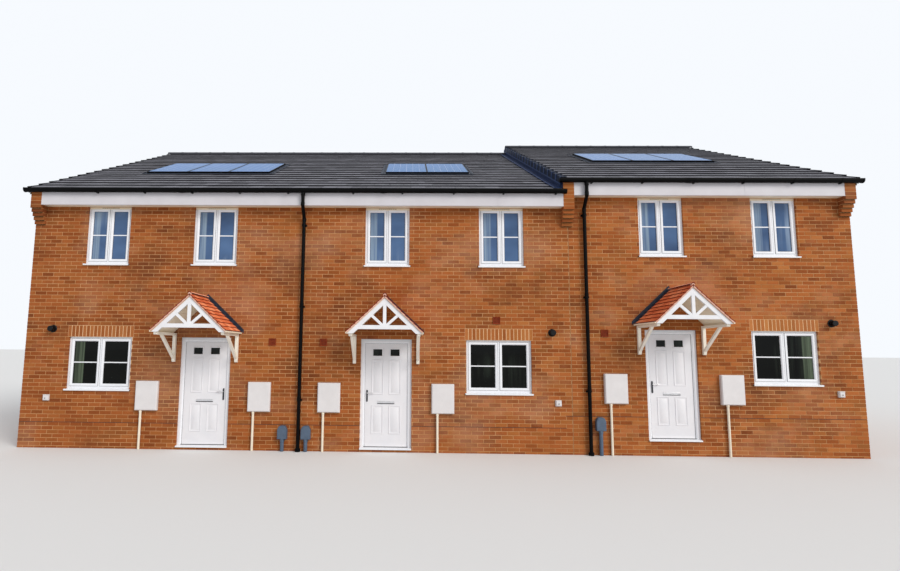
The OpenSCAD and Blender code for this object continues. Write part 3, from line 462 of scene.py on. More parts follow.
LOOKS = {
    "wall": wall_look(),
    "brick": brick_look("facing_brick", "693619", "8a4920", "a55c2c", "b76c39", "60361f", 1.0),
    "soldier": brick_look("soldier_brick", "84481f", "9d5b2c", "ae6937", "c17f4a", "7c5036", 0.4),
    "pointing": plain_look("pale_mortar", "dcb083", "ecc79e", 0.92, 9.0, 0.8, 240.0, specular=0.2),
    # In each tile look the fourth tint is a painted highlight on the edges and the fifth a painted shadow on
    # the noses
    "roof": tile_look("roof_tile", "4d4d53", "65656c", "7c7c85", "8d8e97", "040405"),
    "ridge": tile_look("ridge_tile", "232428", "303136", "424349", "4a4b52", "17181b"),
    "canopy_tile": tile_look("canopy_tile", "c9542f", "f28858", "ffaa7c", "ffcdb0", "7c2e1d", 0.6),
    "upvc": plain_look("window_plastic", "e8eaf0", "eff1f6", 0.3, 3.0, 0.15, 90.0),
    # Cream heads of the upper windows: white plastic with painted shade and warm bounce light under the
    # soffit
    "head": plain_look("painted_shade_window_head", "e6d7bd", "efe3cc", 0.4, 6.0, 0.15, 90.0),
    # Grey fascia: white plastic darkened as painted shade under the tiles
    "fascia": plain_look("fascia_plastic_painted_shade", "c9c6cb", "d3d1d6", 0.4, 2.0, 0.2, 60.0, specular=0.3),
    # Cream soffits and canopy linings: painted warm bounce light in their shade
    "lining": plain_look("soffit_board_painted_bounce_light", "efe3cb", "f7ecd6", 0.5, 4.0, 0.3, 60.0),
    "skin": plain_look("door_skin", "e1e1e6", "e8e7eb", 0.36, 4.0, 0.2, 140.0),
    "box": plain_look("box_plastic", "d8d5d6", "e1dedf", 0.45, 5.0, 0.3, 260.0),
    "gutter": plain_look("gutter_plastic", "040405", "070708", 0.45, 6.0, 0.1, specular=0.08),
    # Dark rubber for real seals and the damp course, also used as painted shade in gaps, slots and openings
    "seal": plain_look("rubber_seal_and_painted_shade", "2c2c30", "3a3a3e", 0.6, 30.0, 0.1, specular=0.2),
    "mastic": plain_look("joint_sealant", "8f6a49", "9c7653", 0.7, 8.0, 0.3, specular=0.2),
    "bedding": plain_look("tile_bedding", "cf9c86", "e6bfae", 0.9, 30.0, 0.8),
    "lead": plain_look("lead_sheet", "242935", "363d4b", 0.6, 9.0, 0.8, 40.0, specular=0.2),
    "slate": plain_look("dark_cladding", "0b1428", "15243f", 0.55, 7.0, 0.4, 60.0, specular=0.1),
    # Lighter edges of the step's caps and lead folds: painted highlights
    "slate_painted_highlight": plain_look("cladding_edge_painted_highlight", "2b3d63", "40547f", 0.5, 7.0, 0.3, 60.0, specular=0.15),
    "step_lead": plain_look("step_lead", "101f3d", "1b305a", 0.55, 9.0, 0.6, 40.0, specular=0.1),
    "terracotta": plain_look("terracotta", "7a2c16", "93401f", 0.8, 20.0, 0.3, specular=0.2),
    "black": plain_look("flue_plastic", "08090b", "121316", 0.5, 14.0, 0.2, specular=0.2),
    "grey": plain_look("entry_plastic", "445468", "56687e", 0.5, 8.0, 0.3),
    # Dark metal: its dark base paints the dark surroundings that chrome reflects
    "metal": plain_look("polished_metal_painted_dark_reflection", "3b3c40", "5b5c61", 0.25, 40.0, 0.05, metal=1.0),
    "satin": plain_look("satin_metal", "d9d9dc", "ebebed", 0.34, 30.0, 0.05, metal=1.0),
    "panel_frame": plain_look("panel_frame", "050506", "0b0b0d", 0.4, 20.0, 0.1, specular=0.1),
    "cell_gap": plain_look("cell_gaps", "8197c4", "93a9d2", 0.35, 20.0, 0.05),
    "underlay": plain_look("rafters", "5a4a38", "7a664d", 0.8, 6.0, 0.6),
    "concrete": plain_look("floor_screed", "8b8984", "a3a19b", 0.8, 3.0, 0.6),
    "boards": plain_look("floor_boards", "8f7650", "a98e66", 0.55, 5.0, 0.4),
    "plaster": plain_look("plaster", "d3d0ca", "e0ddd8", 0.85, 2.0, 0.3),
    "block": plain_look("blockwork", "b4b1aa", "c6c3bc", 0.9, 4.0, 0.8, 90.0),
    "timber": timber_look("painted_timber", "e2e2e6", "edeef2"),
    # Cream brackets: white painted timber tinted with painted warm shade under the canopy
    "timber_painted_warm_shade": timber_look("bracket_timber_painted_warm_shade", "ebe4d6", "f4eee1"),
    "conduit": plain_look("conduit_plastic", "e6dac5", "efe5d3", 0.45, 5.0, 0.2),
    # Blue tints of the upper glass: painted reflection of the sky over the room in shade
    "upper_glass": glass_look("upper_glass", "30496e", "4e6d97", "93a6bd", 0.6, 0.35,
                              UPPER_CURTAINS, "93a7b8"),
    "ground_glass": glass_look("ground_glass", "040505", "0e100e", "2f372f", 0.7, 0.12, CURTAINS),
    "door_glass": glass_look("door_glass", "080a09", "171c19", "3a453c", 0.5, 0.15),
    "cells": panel_look(),
}
# CAD nodes that keep their own shape, besides the walls
PAINTED = {
    "threshold_brickwork": "wall", "kneelers": "wall", "party_wall_one_two": "block",
    "party_wall_two_three": "block", "step_cladding": "slate", "fascias": "fascia", "soffits": "lining",
    "gutters": "gutter", "downpipes": "gutter", "upper_glass": "upper_glass", "ground_glass": "ground_glass",
    "door_lights_1": "door_glass", "door_lights_2": "door_glass", "door_lights_3": "door_glass",
    "door_hinges": "upvc", "ground_floors": "concrete", "upper_floors": "boards", "upper_ceilings": "plaster"}


def paint_nodes():
    walls = {n: "wall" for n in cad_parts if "wall" in n and "vents" not in n and "party" not in n}
    for node, look in {**walls, **PAINTED}.items():
        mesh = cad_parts[node].data
        mesh.materials.clear()
        mesh.materials.append(LOOKS[look])
    for node in ("gutters", "downpipes"):
        make_smooth(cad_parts[node].data, 35)


# Brickwork

# Brick with its joint along the street and along a gable, and how deep its thin model goes
UNIT, GABLE_UNIT, JOINT, PROUD, DEEP, SHORTEST = (ROW + 10) / 72, (DEPTH + 10) / 51, 10, 3.5, 39, 12
BRICK_W, BRICK_L = 102.5, 215
# Rows of a street face and of a gable, from the one at the ground
STREET_ROWS, GABLE_ROWS = range(-1, 66), range(-1, 110)
# The upright movement joint, and how far an upright course reaches past its window
MOVEMENT_X, SOLDIER_OVER, SOLDIER_JOINT = 10700, 28, 13


def window_places(rear):
    """Middle, foot, head and width of each upper and ground window. The rear has one more for each door."""
    upper = [(in_house(i, off), FLOORS[i] + UPPER_Z, FLOORS[i] + SOFFIT, UPPER_W)
             for i in range(3) for off in (NEAR, FAR[i])]
    ground = [(in_house(i, off), FLOORS[i] + GROUND_Z, FLOORS[i] + HEAD, GROUND_W)
              for i in range(3) for off in ((GROUND_X[i], NEAR) if rear else (GROUND_X[i],))]
    return upper, ground


def soldier_courses(rear):
    """Middle, half width and foot of each upright course, which stands over the ground windows only."""
    return [(x, width / 2 + SOLDIER_OVER, z1) for x, _, z1, width in window_places(rear)[1]]


def holes(rear):
    """Rectangles x0, x1, z0, z1 that the level bricks leave free."""
    upper, ground = window_places(rear)
    free = [(*about(x, width / 2), z0, z1) for x, z0, z1, width in upper + ground]
    free += [(*about(x, half), z, z + 3 * COURSE) for x, half, z in soldier_courses(rear)]
    if not rear:
        free += [(*about(door_x(i), DOOR_W / 2), FLOORS[i], FLOORS[i] + HEAD) for i in range(3)]
    return free


def cut(spans, low, high):
    """Spans with the stretch low to high taken out."""
    left = []
    for a, b in spans:
        if b <= low or a >= high:
            left.append((a, b))
            continue
        if a < low:
            left.append((a, low))
        if b > high:
            left.append((high, b))
    return left


def bond(row):
    """Bricks of one row along the street, in half bond. Even rows start with a whole brick."""
    starts = np.arange(-UNIT / 2 if row % 2 else 0, ROW, UNIT)
    return [(max(0, a), min(ROW, a + UNIT - JOINT)) for a in starts]


def proud():
    """How far the face of the next brick stands out."""
    return PROUD + rng.uniform(-0.9, 0.5)


def street_bricks(rear):
    """Bricks of the front or rear face. Corner bricks turn into the gables."""
    bricks, free = Shape(), holes(rear)
    for row in STREET_ROWS:
        z = LOW + row * COURSE
        z, top = max(z, 0), z + COURSE - JOINT
        spans = cut(bond(row), *about(MOVEMENT_X, 6))
        if z > LOW + SOFFIT - 1:
            spans = cut(spans, -1, GABLE)
        for x0, x1, z0, z1 in free:
            if z0 < top - 1 and z1 > z + 1:
                spans = cut(spans, x0 + 1.5, x1 - 1.5)
        for a, b in spans:
            if b - a < SHORTEST:
                continue
            deep = DEEP
            if a < 1 or b > ROW - 1:
                deep = BRICK_L if row % 2 else BRICK_W
            a = -PROUD if a < 1 else a
            b = ROW + PROUD if b > ROW - 1 else b
            bricks.box((a, b), (-proud(), deep), (z, top))
    return bricks.flipped() if rear else bricks


def gable_bricks(right):
    """Bricks of a gable, cut to the slope under the roof."""
    bricks, base = Shape(), HIGH if right else LOW
    for row in GABLE_ROWS:
        z = LOW + row * COURSE
        edge = (z + ROOF_T * UP - base - EAVES) / SLOPE - TILE_OUT
        if edge > RIDGE_Y - 60:
            break
        for a in np.arange(0 if row % 2 else -GABLE_UNIT / 2, DEPTH, GABLE_UNIT):
            b = a + GABLE_UNIT - JOINT
            # Below the soffit the street faces' corner bricks fill these places
            if (a < 1 or b > DEPTH - 1) and z < base + SOFFIT - 1:
                continue
            a, b = max(a, 0, edge), min(b, DEPTH, DEPTH - edge)
            if b - a < SHORTEST:
                continue
            out = proud()
            x = (ROW - DEEP, ROW + out) if right else (-out, DEEP)
            bricks.box(x, (a, b), (max(z, 0), z + COURSE - JOINT))
    return bricks


def soldiers(rear):
    """Upright bricks over the ground windows."""
    shape = Shape()
    for x, half, z in soldier_courses(rear):
        n = round(2 * half / COURSE)
        pitch = 2 * half / n
        for k in range(n):
            middle = x - half + (k + 0.5) * pitch
            reach = (pitch - SOLDIER_JOINT) / 2
            shape.box(about(middle, reach), (-PROUD - rng.uniform(0, 1), 60), (z, z + BRICK_L))
    return shape


def soldier_pointing(rear):
    """Pale mortar in the joints of the upright courses, just behind the brick faces."""
    shape = Shape()
    for x, half, z in soldier_courses(rear):
        shape.box(about(x, half), (-1.8, 20), (z - 5, z + BRICK_L + 4))
    return shape


def kneeler_bricks():
    """Corbelled courses and the square end above them, one brick wide."""
    shape = Shape()
    for x, base, roof in ((0, LOW, LOW), (GABLE, LOW, HIGH), (ROW - KNEELER_W, HIGH, HIGH)):
        x = (x - PROUD, x + KNEELER_W + PROUD)
        for k in range(KNEELER_STEPS):
            z = base + SOFFIT - COURSE * (KNEELER_STEPS - k)
            out = FASCIA_OUT * (k + 1) / KNEELER_STEPS
            shape.box(x, (-out - PROUD, 0), (z, z + COURSE - JOINT))
        z, top = base + SOFFIT, board_top(roof)
        while z < top - 15:
            shape.box(x, (-FASCIA_OUT - PROUD, 0), (z, min(z + COURSE - JOINT, top)))
            z += COURSE
    return shape.mirrored()


def damp_course():
    """The dark line of the damp course, six courses over each ground floor."""
    shape, out = Shape(), 2.2
    heights = {floor: (floor + 6 * COURSE - 9, floor + 6 * COURSE - 1) for floor in (LOW, HIGH)}
    for x0, x1, floor in ((0, GABLE, LOW), (GABLE, ROW, HIGH)):
        spans = [(x0, x1)]
        for i in range(3):
            spans = cut(spans, *about(door_x(i), DOOR_W / 2))
        for span in spans:
            shape.box(span, (-out, 20), heights[floor])
        shape.box((x0, x1), (DEPTH - 20, DEPTH + out), heights[floor])
    shape.box((-out, 20), (0, DEPTH), heights[LOW])
    shape.box((ROW - 20, ROW + out), (0, DEPTH), heights[HIGH])
    return shape


def make_walls():
    for name, bricks in (("front", street_bricks(False)), ("rear", street_bricks(True)),
                         ("left_gable", gable_bricks(False)), ("right_gable", gable_bricks(True))):
        bricks.piece("bricks_" + name, "brick", slot="brick")
    both_faces(soldiers).piece("bricks_over_openings", "soldier", slot="brick")
    # This draw isn't used, but it keeps the tones of all later pieces
    rng.random(3)
    both_faces(soldier_pointing).piece("pointing_over_openings", "pointing", slot="brick")
    kneeler_bricks().piece("bricks_of_kneelers", "brick", slot="brick")
    damp_course().piece("damp_course", "seal")
    # Sealant in the upright joint beside the step
    joint_top = LOW + SOFFIT - COURSE * KNEELER_STEPS
    joint = Shape().box((MOVEMENT_X - 7, MOVEMENT_X + 3), (-1.5, 20), (0, joint_top))
    joint.mirrored().piece("movement_joint", "mastic")


# Roof

# NOSE is the thickness that shows at a tile's foot, and STEP_X is where the raised roof starts
GAUGE, TILE_W, NOSE, STEP_X = 343, 295, 24, GABLE - VERGE_OUT
# Length and half angle of a ridge tile, and the longest sheet of lead
RIDGE_L, RIDGE_REACH, SHEET_L = 450, 72, 1500
SLOPE_L = (RIDGE_Y + TILE_OUT) * UP
ROOFS = {"pair": (-VERGE_OUT, STEP_X, LOW), "third": (STEP_X, ROW + VERGE_OUT, HIGH)}
FEET = range(0, math.ceil(SLOPE_L - 40), GAUGE)
# Foot and top of each cap that covers a course's end
CAPS = [(v - 4, min(v + GAUGE + 12, SLOPE_L)) for v in FEET]


def on_slope(base):
    """Place at v up the slope, w out of it and u along the eaves."""
    c, s = math.cos(PITCH), math.sin(PITCH)
    return lambda v, w, u: (u, -TILE_OUT + v * c - w * s, base + EAVES + v * s + w * c)


def lay(shape, outline, place, start, end, width, half, gap):
    """One course of tiles from start to end. It starts with half a tile where half is true."""
    for edge in np.arange(start - (width / 2 if half else 0), end, width):
        a, b = max(start, edge + gap), min(end, edge + width - gap)
        if b - a > SHORTEST:
            lift = rng.uniform(-1.2, 0)
            shape.prism([(v, w + lift) for v, w in outline], place, a, b)


def slope_tiles(x0, x1, base):
    shape, place = Shape(), on_slope(base)
    width = (x1 - x0) / round((x1 - x0) / TILE_W)
    for course, v0 in enumerate(FEET):
        v1 = min(v0 + GAUGE + 60, SLOPE_L - 4)
        under = NOSE if course else 38
        drop = -NOSE * (v1 - v0) / GAUGE
        outline = [(v0, -under), (v0, -4), (v0 + 4, 0), (v1, drop), (v1, drop - 16)]
        lay(shape, outline, place, x0, x1, width, course % 2, 2)
    return shape


def slope_underlay(shape, x0, x1, base):
    """Rafters and battens as one slab under the tiles."""
    low, over, under = -FASCIA_OUT + FASCIA_T, 46 * UP, ROOF_T * UP
    outline = [(low, tile_top(low, base) - over), (RIDGE_Y, tile_top(RIDGE_Y, base) - over),
               (RIDGE_Y, tile_top(RIDGE_Y, base) - under), (low, tile_top(low, base) - under)]
    shape.along_x(outline, x0, x1)


def arch(middle, centre, outer, inner, reach, steps):
    """Outline of a half-round tile between two radii, open below."""
    turns = np.linspace(-math.radians(reach), math.radians(reach), steps)
    return [(middle + r * math.sin(t), centre + r * math.cos(t))
            for r, way in ((outer, turns), (inner, turns[::-1])) for t in way]


def ridge_tiles():
    """Half-round ridge tiles about 450 long, with a collar over each joint."""
    shape = Shape()
    for x0, x1, base in ((-VERGE_OUT, STEP_X, LOW), (STEP_X + 1, ROW + VERGE_OUT, HIGH)):
        centre = tile_top(RIDGE_Y, base) - RIDGE_R * 0.55
        n = round((x1 - x0) / RIDGE_L)
        length = (x1 - x0) / n
        for k in range(n):
            a = x0 + k * length
            tile = arch(RIDGE_Y, centre, RIDGE_R - 5, RIDGE_R - 20, RIDGE_REACH, 13)
            shape.along_x(tile, a + 2, a + length - 2)
            if k:
                collar = arch(RIDGE_Y, centre, RIDGE_R, RIDGE_R - 10, RIDGE_REACH, 13)
                shape.along_x(collar, *about(a, 26))
    return shape


def cap_top(v0, v1):
    """Outline of a cap's top over the ends of one course."""
    return [(v0, 1), (v0, VERGE_T - 0.5), (v1, VERGE_T - NOSE - 3), (v1, -NOSE - 1)]


def verge_units():
    """Plastic verge caps, one for each course, each lapping over the one below."""
    shape, drop = Shape(), -VERGE_H * math.cos(PITCH)
    for side, x, base in ((-1, -VERGE_OUT, LOW), (1, ROW + VERGE_OUT, HIGH)):
        place, outer, skirt = on_slope(base), x + side * VERGE_T, x + side * 3
        for v0, v1 in CAPS:
            shape.prism(cap_top(v0, v1), place, x - side * 62, outer)
            face = [(v0, drop), (v0, VERGE_T - 1), (v1, VERGE_T - NOSE - 3), (v1, drop)]
            shape.prism(face, place, skirt, outer)
            lip = [(v0, drop + 8), (v0, VERGE_T - 3), (v0 + 26, VERGE_T - 4), (v0 + 26, drop + 8)]
            shape.prism(lip, place, skirt, outer - side * 0.2)
    return shape.mirrored()


def step_covering():
    """Side of the raised gable: verge caps with a raised lip on each, lead with folded edges at the foot;
    lips and folds are lighter as painted highlights.
    """
    caps, lips, lead, folds = Shape(), Shape(), Shape(), Shape()
    place, low, x = on_slope(HIGH), on_slope(LOW), STEP_X
    foot = -STEP * math.cos(PITCH)
    for v0, v1 in CAPS:
        drop = 2 - NOSE * (v1 - v0) / GAUGE
        caps.prism(cap_top(v0, v1), place, x - 8, x + 110)
        caps.prism([(v0 + 4, -114), (v0 + 4, 2), (v1, drop), (v1, -114)], place, x - 9, x + 2)
        lip = [(v0, -120), (v0, VERGE_T - 2), (v0 + 62, VERGE_T - 6), (v0 + 62, -120)]
        lips.prism(lip, place, x - 16, x - 6)
    for v in range(0, math.ceil(SLOPE_L - 20), SHEET_L):
        end = min(v + SHEET_L, SLOPE_L - 4)
        lead.prism([(v, foot + 4), (v, -116), (end, -116), (end, foot + 4)], place, x - 7, x + 1)
        lead.prism([(v - 3, 0), (v - 3, 7), (end + 3, 7), (end + 3, 0)], low, x - 150, x - 2)
        folds.prism([(v + 2, -142), (v + 2, -122), (end - 2, -122), (end - 2, -142)], place, x - 13, x - 5)
        folds.prism([(v, 2), (v, 16), (end, 16), (end, 2)], low, x - 152, x - 132)
    caps.mirrored().piece("step_caps", "slate", slot="cladding")
    lips.mirrored().piece("step_cap_lips", "slate_painted_highlight", slot="cladding")
    lead.mirrored().piece("step_lead", "step_lead", slot="lead")
    folds.mirrored().piece("step_lead_folds", "slate_painted_highlight", slot="lead")


def make_roof():
    underlay = Shape()
    for name, (x0, x1, base) in ROOFS.items():
        slope_underlay(underlay, x0 if name == "pair" else GABLE, x1, base)
        for side in ("front", "rear"):
            tiles = slope_tiles(x0, x1, base)
            if side == "rear":
                tiles.flipped()
            tiles.piece(f"tiles_{side}_{name}", "roof", replaces=(f"roof_{side}_{name}",), slot="roof_tile")
    underlay.mirrored().piece("roof_underlay", "underlay", slot="roof_tile")
    ridge_tiles().piece("ridge_capping", "ridge", replaces=("ridge_tiles",), slot="roof_tile", smooth=35)
    verge_units().piece("verge_caps", "ridge", replaces=("verge_strips",), slot="roof_tile")
    step_covering()


# Eaves

# Of each roof: its floor, the gutter brackets, the gutter unions and the joints of the fascia, along the row
EAVES_TRIM = (
    (LOW, (1350, 2300, 3250, 4200, 5160, 6450, 7420, 8430, 9400, 10420), (3050, 7050), (4500, 9300)),
    (HIGH, (11120, 12100, 13090, 14040, 14980, 15890), (13000,), (14100,)))
# Ends of the gutters, with the way out of each
GUTTER_ENDS = ((-GUTTER_OVER, -1, LOW), (GABLE + GUTTER_PAST, 1, LOW), (GABLE - GUTTER_BEFORE, -1, HIGH),
               (ROW + GUTTER_OVER, 1, HIGH))


def gutter_curve(grow):
    """Half-round outline of the gutter's outside, grown by some millimetres, as pairs y, z from its top."""
    r = GUTTER_W / 2
    turns = np.linspace(math.pi, 2 * math.pi, 14)
    low = [(GUTTER_Y + (r + grow) * math.cos(t), r - GUTTER_H + (r + grow) * math.sin(t)) for t in turns]
    return [(GUTTER_Y - r - grow, 0)] + low + [(GUTTER_Y + r + grow, 0)]


def gutter_band(shape, x0, x1, base, grow):
    """A band round the gutter's outside, open at the top."""
    top = base + GUTTER_TOP
    outline = [(min(y, -FASCIA_OUT - 0.5), z + top) for y, z in gutter_curve(grow)]
    outline += [(min(y, -FASCIA_OUT - 1), z + top) for y, z in gutter_curve(-1)[::-1]]
    shape.along_x(outline, x0, x1)


def eaves_trim():
    """Brackets, unions and stop ends of the gutters, and the cover strips of the boards."""
    trim, covers, face = Shape(), Shape(), -FASCIA_OUT
    for base, brackets, unions, joints in EAVES_TRIM:
        top = base + GUTTER_TOP
        foot = top - GUTTER_H
        for x in brackets:
            gutter_band(trim, *about(x, 14), base, 4)
            trim.box(about(x, 14), (GUTTER_Y - 40, face - 3), (foot - 10, foot + 3))
            trim.box(about(x, 16), (face - 6, face), (foot - 12, top + 2))
        for x in unions:
            gutter_band(trim, *about(x, 60), base, 5)
            gutter_band(trim, *about(x, 22), base, 8)
        for x in joints:
            height = base + SOFFIT - SOFFIT_T - 1, board_top(base) - 2
            covers.box(about(x, 20), (face - 3, face + 2), height)
    for x, side, base in GUTTER_ENDS:
        gutter_band(trim, x, x - side * 26, base, 4)
    # Lower edge of the fascia
    for x0, x1, base in ((KNEELER_W, GABLE, LOW), (GABLE + KNEELER_W, ROW - KNEELER_W, HIGH)):
        low = base + SOFFIT - SOFFIT_T
        covers.box((x0, x1), (face - 2, face + 30), (low - 2, low + 8))
    trim.mirrored().piece("gutter_brackets", "gutter", slot="rainwater", smooth=40)
    covers.mirrored().piece("fascia_trim", "fascia", slot="upvc")


# Radii round a downpipe, and heights of its clips and joints over the floor
SOCKET_R, BEND_R, CLIP_R, JOINT_R, SHOE_R = 42, 39, 38, 38.5, 52
CLIPS_Z, JOINTS_Z = (900, 2700), (935, 2735)


def pipe_collars():
    """Sockets, clips and shoes of the downpipes."""
    collars = Shape()
    for x, base in zip(PIPE_X, (LOW, HIGH)):
        top = base + GUTTER_TOP - GUTTER_H
        bend = top - OUTLET
        low = bend - (PIPE_Y - GUTTER_Y) * NECK_FALL
        collars.post((x, GUTTER_Y), (top - 50, top + 2), SOCKET_R, 24)
        collars.post((x, GUTTER_Y), (bend + 8, bend + 62), BEND_R, 24)
        collars.post((x, PIPE_Y), (low - 62, low - 8), BEND_R, 24)
        for z in (*(base + clip for clip in CLIPS_Z), low - 150):
            collars.post((x, PIPE_Y), (z - 1, z + CLIP_H + 1), CLIP_R, 24)
            collars.box(about(x, 52), (-22, 0), (z - 1, z + CLIP_H + 1))
            for screw in (x - 45, x + 45):
                collars.stub((screw, z + CLIP_H / 2), (-22, -27), 6, 8)
        for z in JOINTS_Z:
            collars.post((x, PIPE_Y), (base + z, base + z + 55), JOINT_R, 24)
        collars.post((x, PIPE_Y), (0, 60), SHOE_R, 24)
    collars.mirrored().piece("pipe_collars", "gutter", slot="rainwater", smooth=40)


# Windows

# How far a sash stands over the edge of its glass, the width of a glazing bar and of a sill's horn
SASH, BAR, HORN = 48, 24, 22
# Profiles as pairs of inset and y: outer frame, sash, and the seals round the sash and on the glass
FRAME_PROFILE = [(0, 40), (39, 40), (45, 46), (45, 110), (0, 110)]
SASH_PROFILE = [(0, 35), (3, 33), (30, 33), (SASH - 2, 44), (SASH, 62), (SASH, 100), (0, 100)]
# The seal round each sash is a real gasket and also the painted shade of the gap between sash and frame
SASH_SEAL = [(-4, 38.6), (2, 38.6), (2, 41), (-4, 41)]
GLASS_SEALS = ([(-1, 58.5), (4, 58.5), (4, 62.5), (-1, 62.5)], [(-1, 87.5), (4, 87.5), (4, 91), (-1, 91)])


def window_parts(frames, seals, x, z0, z1, width):
    """One window with two side-hung sashes, standing on its sill."""
    light = (width - 2 * FRAME_W - MULLION) / 2
    low, tone = z0 + SILL_H, rng.random(3)
    frames.ring(about(x, width / 2), (low, z1), FRAME_PROFILE, tone)
    frames.box(about(x, 18), (42, 108), (low + 40, z1 - 40), tone)
    foot, head = low + FRAME_W - SASH, z1 - FRAME_W + SASH
    bar = (foot + head) / 2
    for s in (-1, 1):
        middle = x + s * (MULLION + light) / 2
        sash, glass = about(middle, light / 2 + SASH), about(middle, light / 2)
        frames.ring(sash, (foot, head), SASH_PROFILE, tone)
        seals.ring(sash, (foot, head), SASH_SEAL)
        for profile in GLASS_SEALS:
            seals.ring(glass, (foot + SASH, head - SASH), profile)
        # Glazing bar on both faces of the glass
        across = about(middle, light / 2 + 1)
        profile = [(56, bar - 9), (56, bar + 9), (62.8, bar + BAR / 2), (62.8, bar - BAR / 2)]
        frames.along_x(profile, *across, tone)
        frames.box(across, (87.2, 94), about(bar, 11), tone)
        # Catch inside, on the stile at the middle
        stile = sash[0] + 24 if s > 0 else sash[1] - 24
        frames.box(about(stile, 11), (100, 106), about(bar, 40), tone)
        frames.box(about(stile, 8), (106, 128), about(bar, 8), tone)
        frames.box(about(stile, 8), (118, 130), (bar - 100, bar + 6), tone)


def head_parts(heads, slots, x, z1, width):
    """Cover board of an upper window's head with the hood of its ventilator and the slots in it. Board and
    hood are tinted cream as painted shade with warm bounce light; the slots are dark as painted shade.
    """
    tone = rng.random(3)
    heads.box(about(x, width / 2 - 2), (34, 41), (z1 - 50, z1 - 2), tone)
    heads.along_x([(35, z1 - 12), (26, z1 - 16), (24, z1 - 34), (35, z1 - 34)], *about(x, 185), tone)
    for k in range(-4, 5):
        # Dark slots: painted shade in the openings
        slots.box(about(x + 40 * k, 14), (23.4, 30), (z1 - 32, z1 - 25))


def sill_part(shape, x, z, width):
    """Moulded sill with a sloping top, a drip under its nose and horns on the wall."""
    nose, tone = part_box("window_sills")[0].y * 1000 + DEPTH / 2, rng.random(3)
    top = [(110, z + SILL_H), (40, z + SILL_H), (40, z + 38), (nose + 3, z + 25), (nose, z + 22), (nose, z)]
    foot = [(nose + 8, z), (nose + 8, z + 5), (nose + 16, z + 5), (nose + 16, z), (110, z)]
    shape.along_x(top + foot, *about(x, width / 2), tone)
    horn = [(-0.5, z + 32), (nose + 3, z + 25.5), (nose, z + 22.5), (nose, z), (-0.5, z)]
    cap = [(-0.5, z + 34), (nose + 2, z + 27.5), (nose, z + 23.5), (nose, z), (-0.5, z)]
    for s in (-1, 1):
        end = x + s * width / 2
        shape.along_x(horn, end, end + s * HORN, tone)
        shape.along_x(cap, end + s * (HORN - 5), end + s * HORN, tone)


def make_windows():
    shapes = {name: Shape() for name in ("upper", "ground", "seals", "sills", "heads", "slots")}
    for rear in (False, True):
        made = {name: Shape() for name in shapes}
        for name, places in zip(("upper", "ground"), window_places(rear)):
            for x, z0, z1, width in places:
                window_parts(made[name], made["seals"], x, z0, z1, width)
                if name == "upper":
                    head_parts(made["heads"], made["slots"], x, z1, width)
                sill_part(made["sills"], x, z0, width)
        for name, shape in made.items():
            shapes[name].join(shape.flipped() if rear else shape)
    for name in ("upper", "ground"):
        shapes[name].piece(name + "_windows", "upvc", replaces=(name + "_window_frames",),
                           slot="upvc", bevel=1.2)
    shapes["sills"].piece("sills", "upvc", replaces=("window_sills",), slot="upvc", bevel=1.2)
    shapes["seals"].piece("window_seals", "seal")
    shapes["heads"].piece("window_heads", "head", slot="upvc", bevel=1.2)
    shapes["slots"].piece("ventilator_slots", "seal")


# Doors

# Near and far edge from the leaf's middle, foot and head of the panels on each side
PANELS = ((55, 283, 1030, 1700), (55, 283, 285, 825))
DOOR_PROFILE = [(0, 40), (58, 40), (64, 43), (72, 54), (82, 56), (82, 64.5), (72, 65), (72, 110), (0, 110)]
DOOR_SEAL = [(13, 56.5), (18, 58), (18, 63), (13, 64)]


# Pairs of inset and height of a panel's moulding, of the beading round a pane and of the letter plate's rim
MOULDING = ((0, 0), (4, 8), (12, 8), (19, 1.5), (24, 0.4), (24, -2), (0, -2))
BEADING = ((-24, 0), (-20, 7), (-7, 9), (1, 5), (1, -9), (-24, -1))
PLATE_RIM = ((0, 0), (0, 5), (3, 8), (8, 8), (9, 5), (9, 0))
LEVER_R, LEVER_OUT = 8.5, 38


def off(side, *steps):
    """Depths at some heights over a face of the leaf."""
    out, face = side
    return [face + out * step for step in steps]


def raised(side, pairs):
    """Profile on a face of the leaf, from pairs of inset and height."""
    return [(inset, *off(side, step)) for inset, step in pairs]


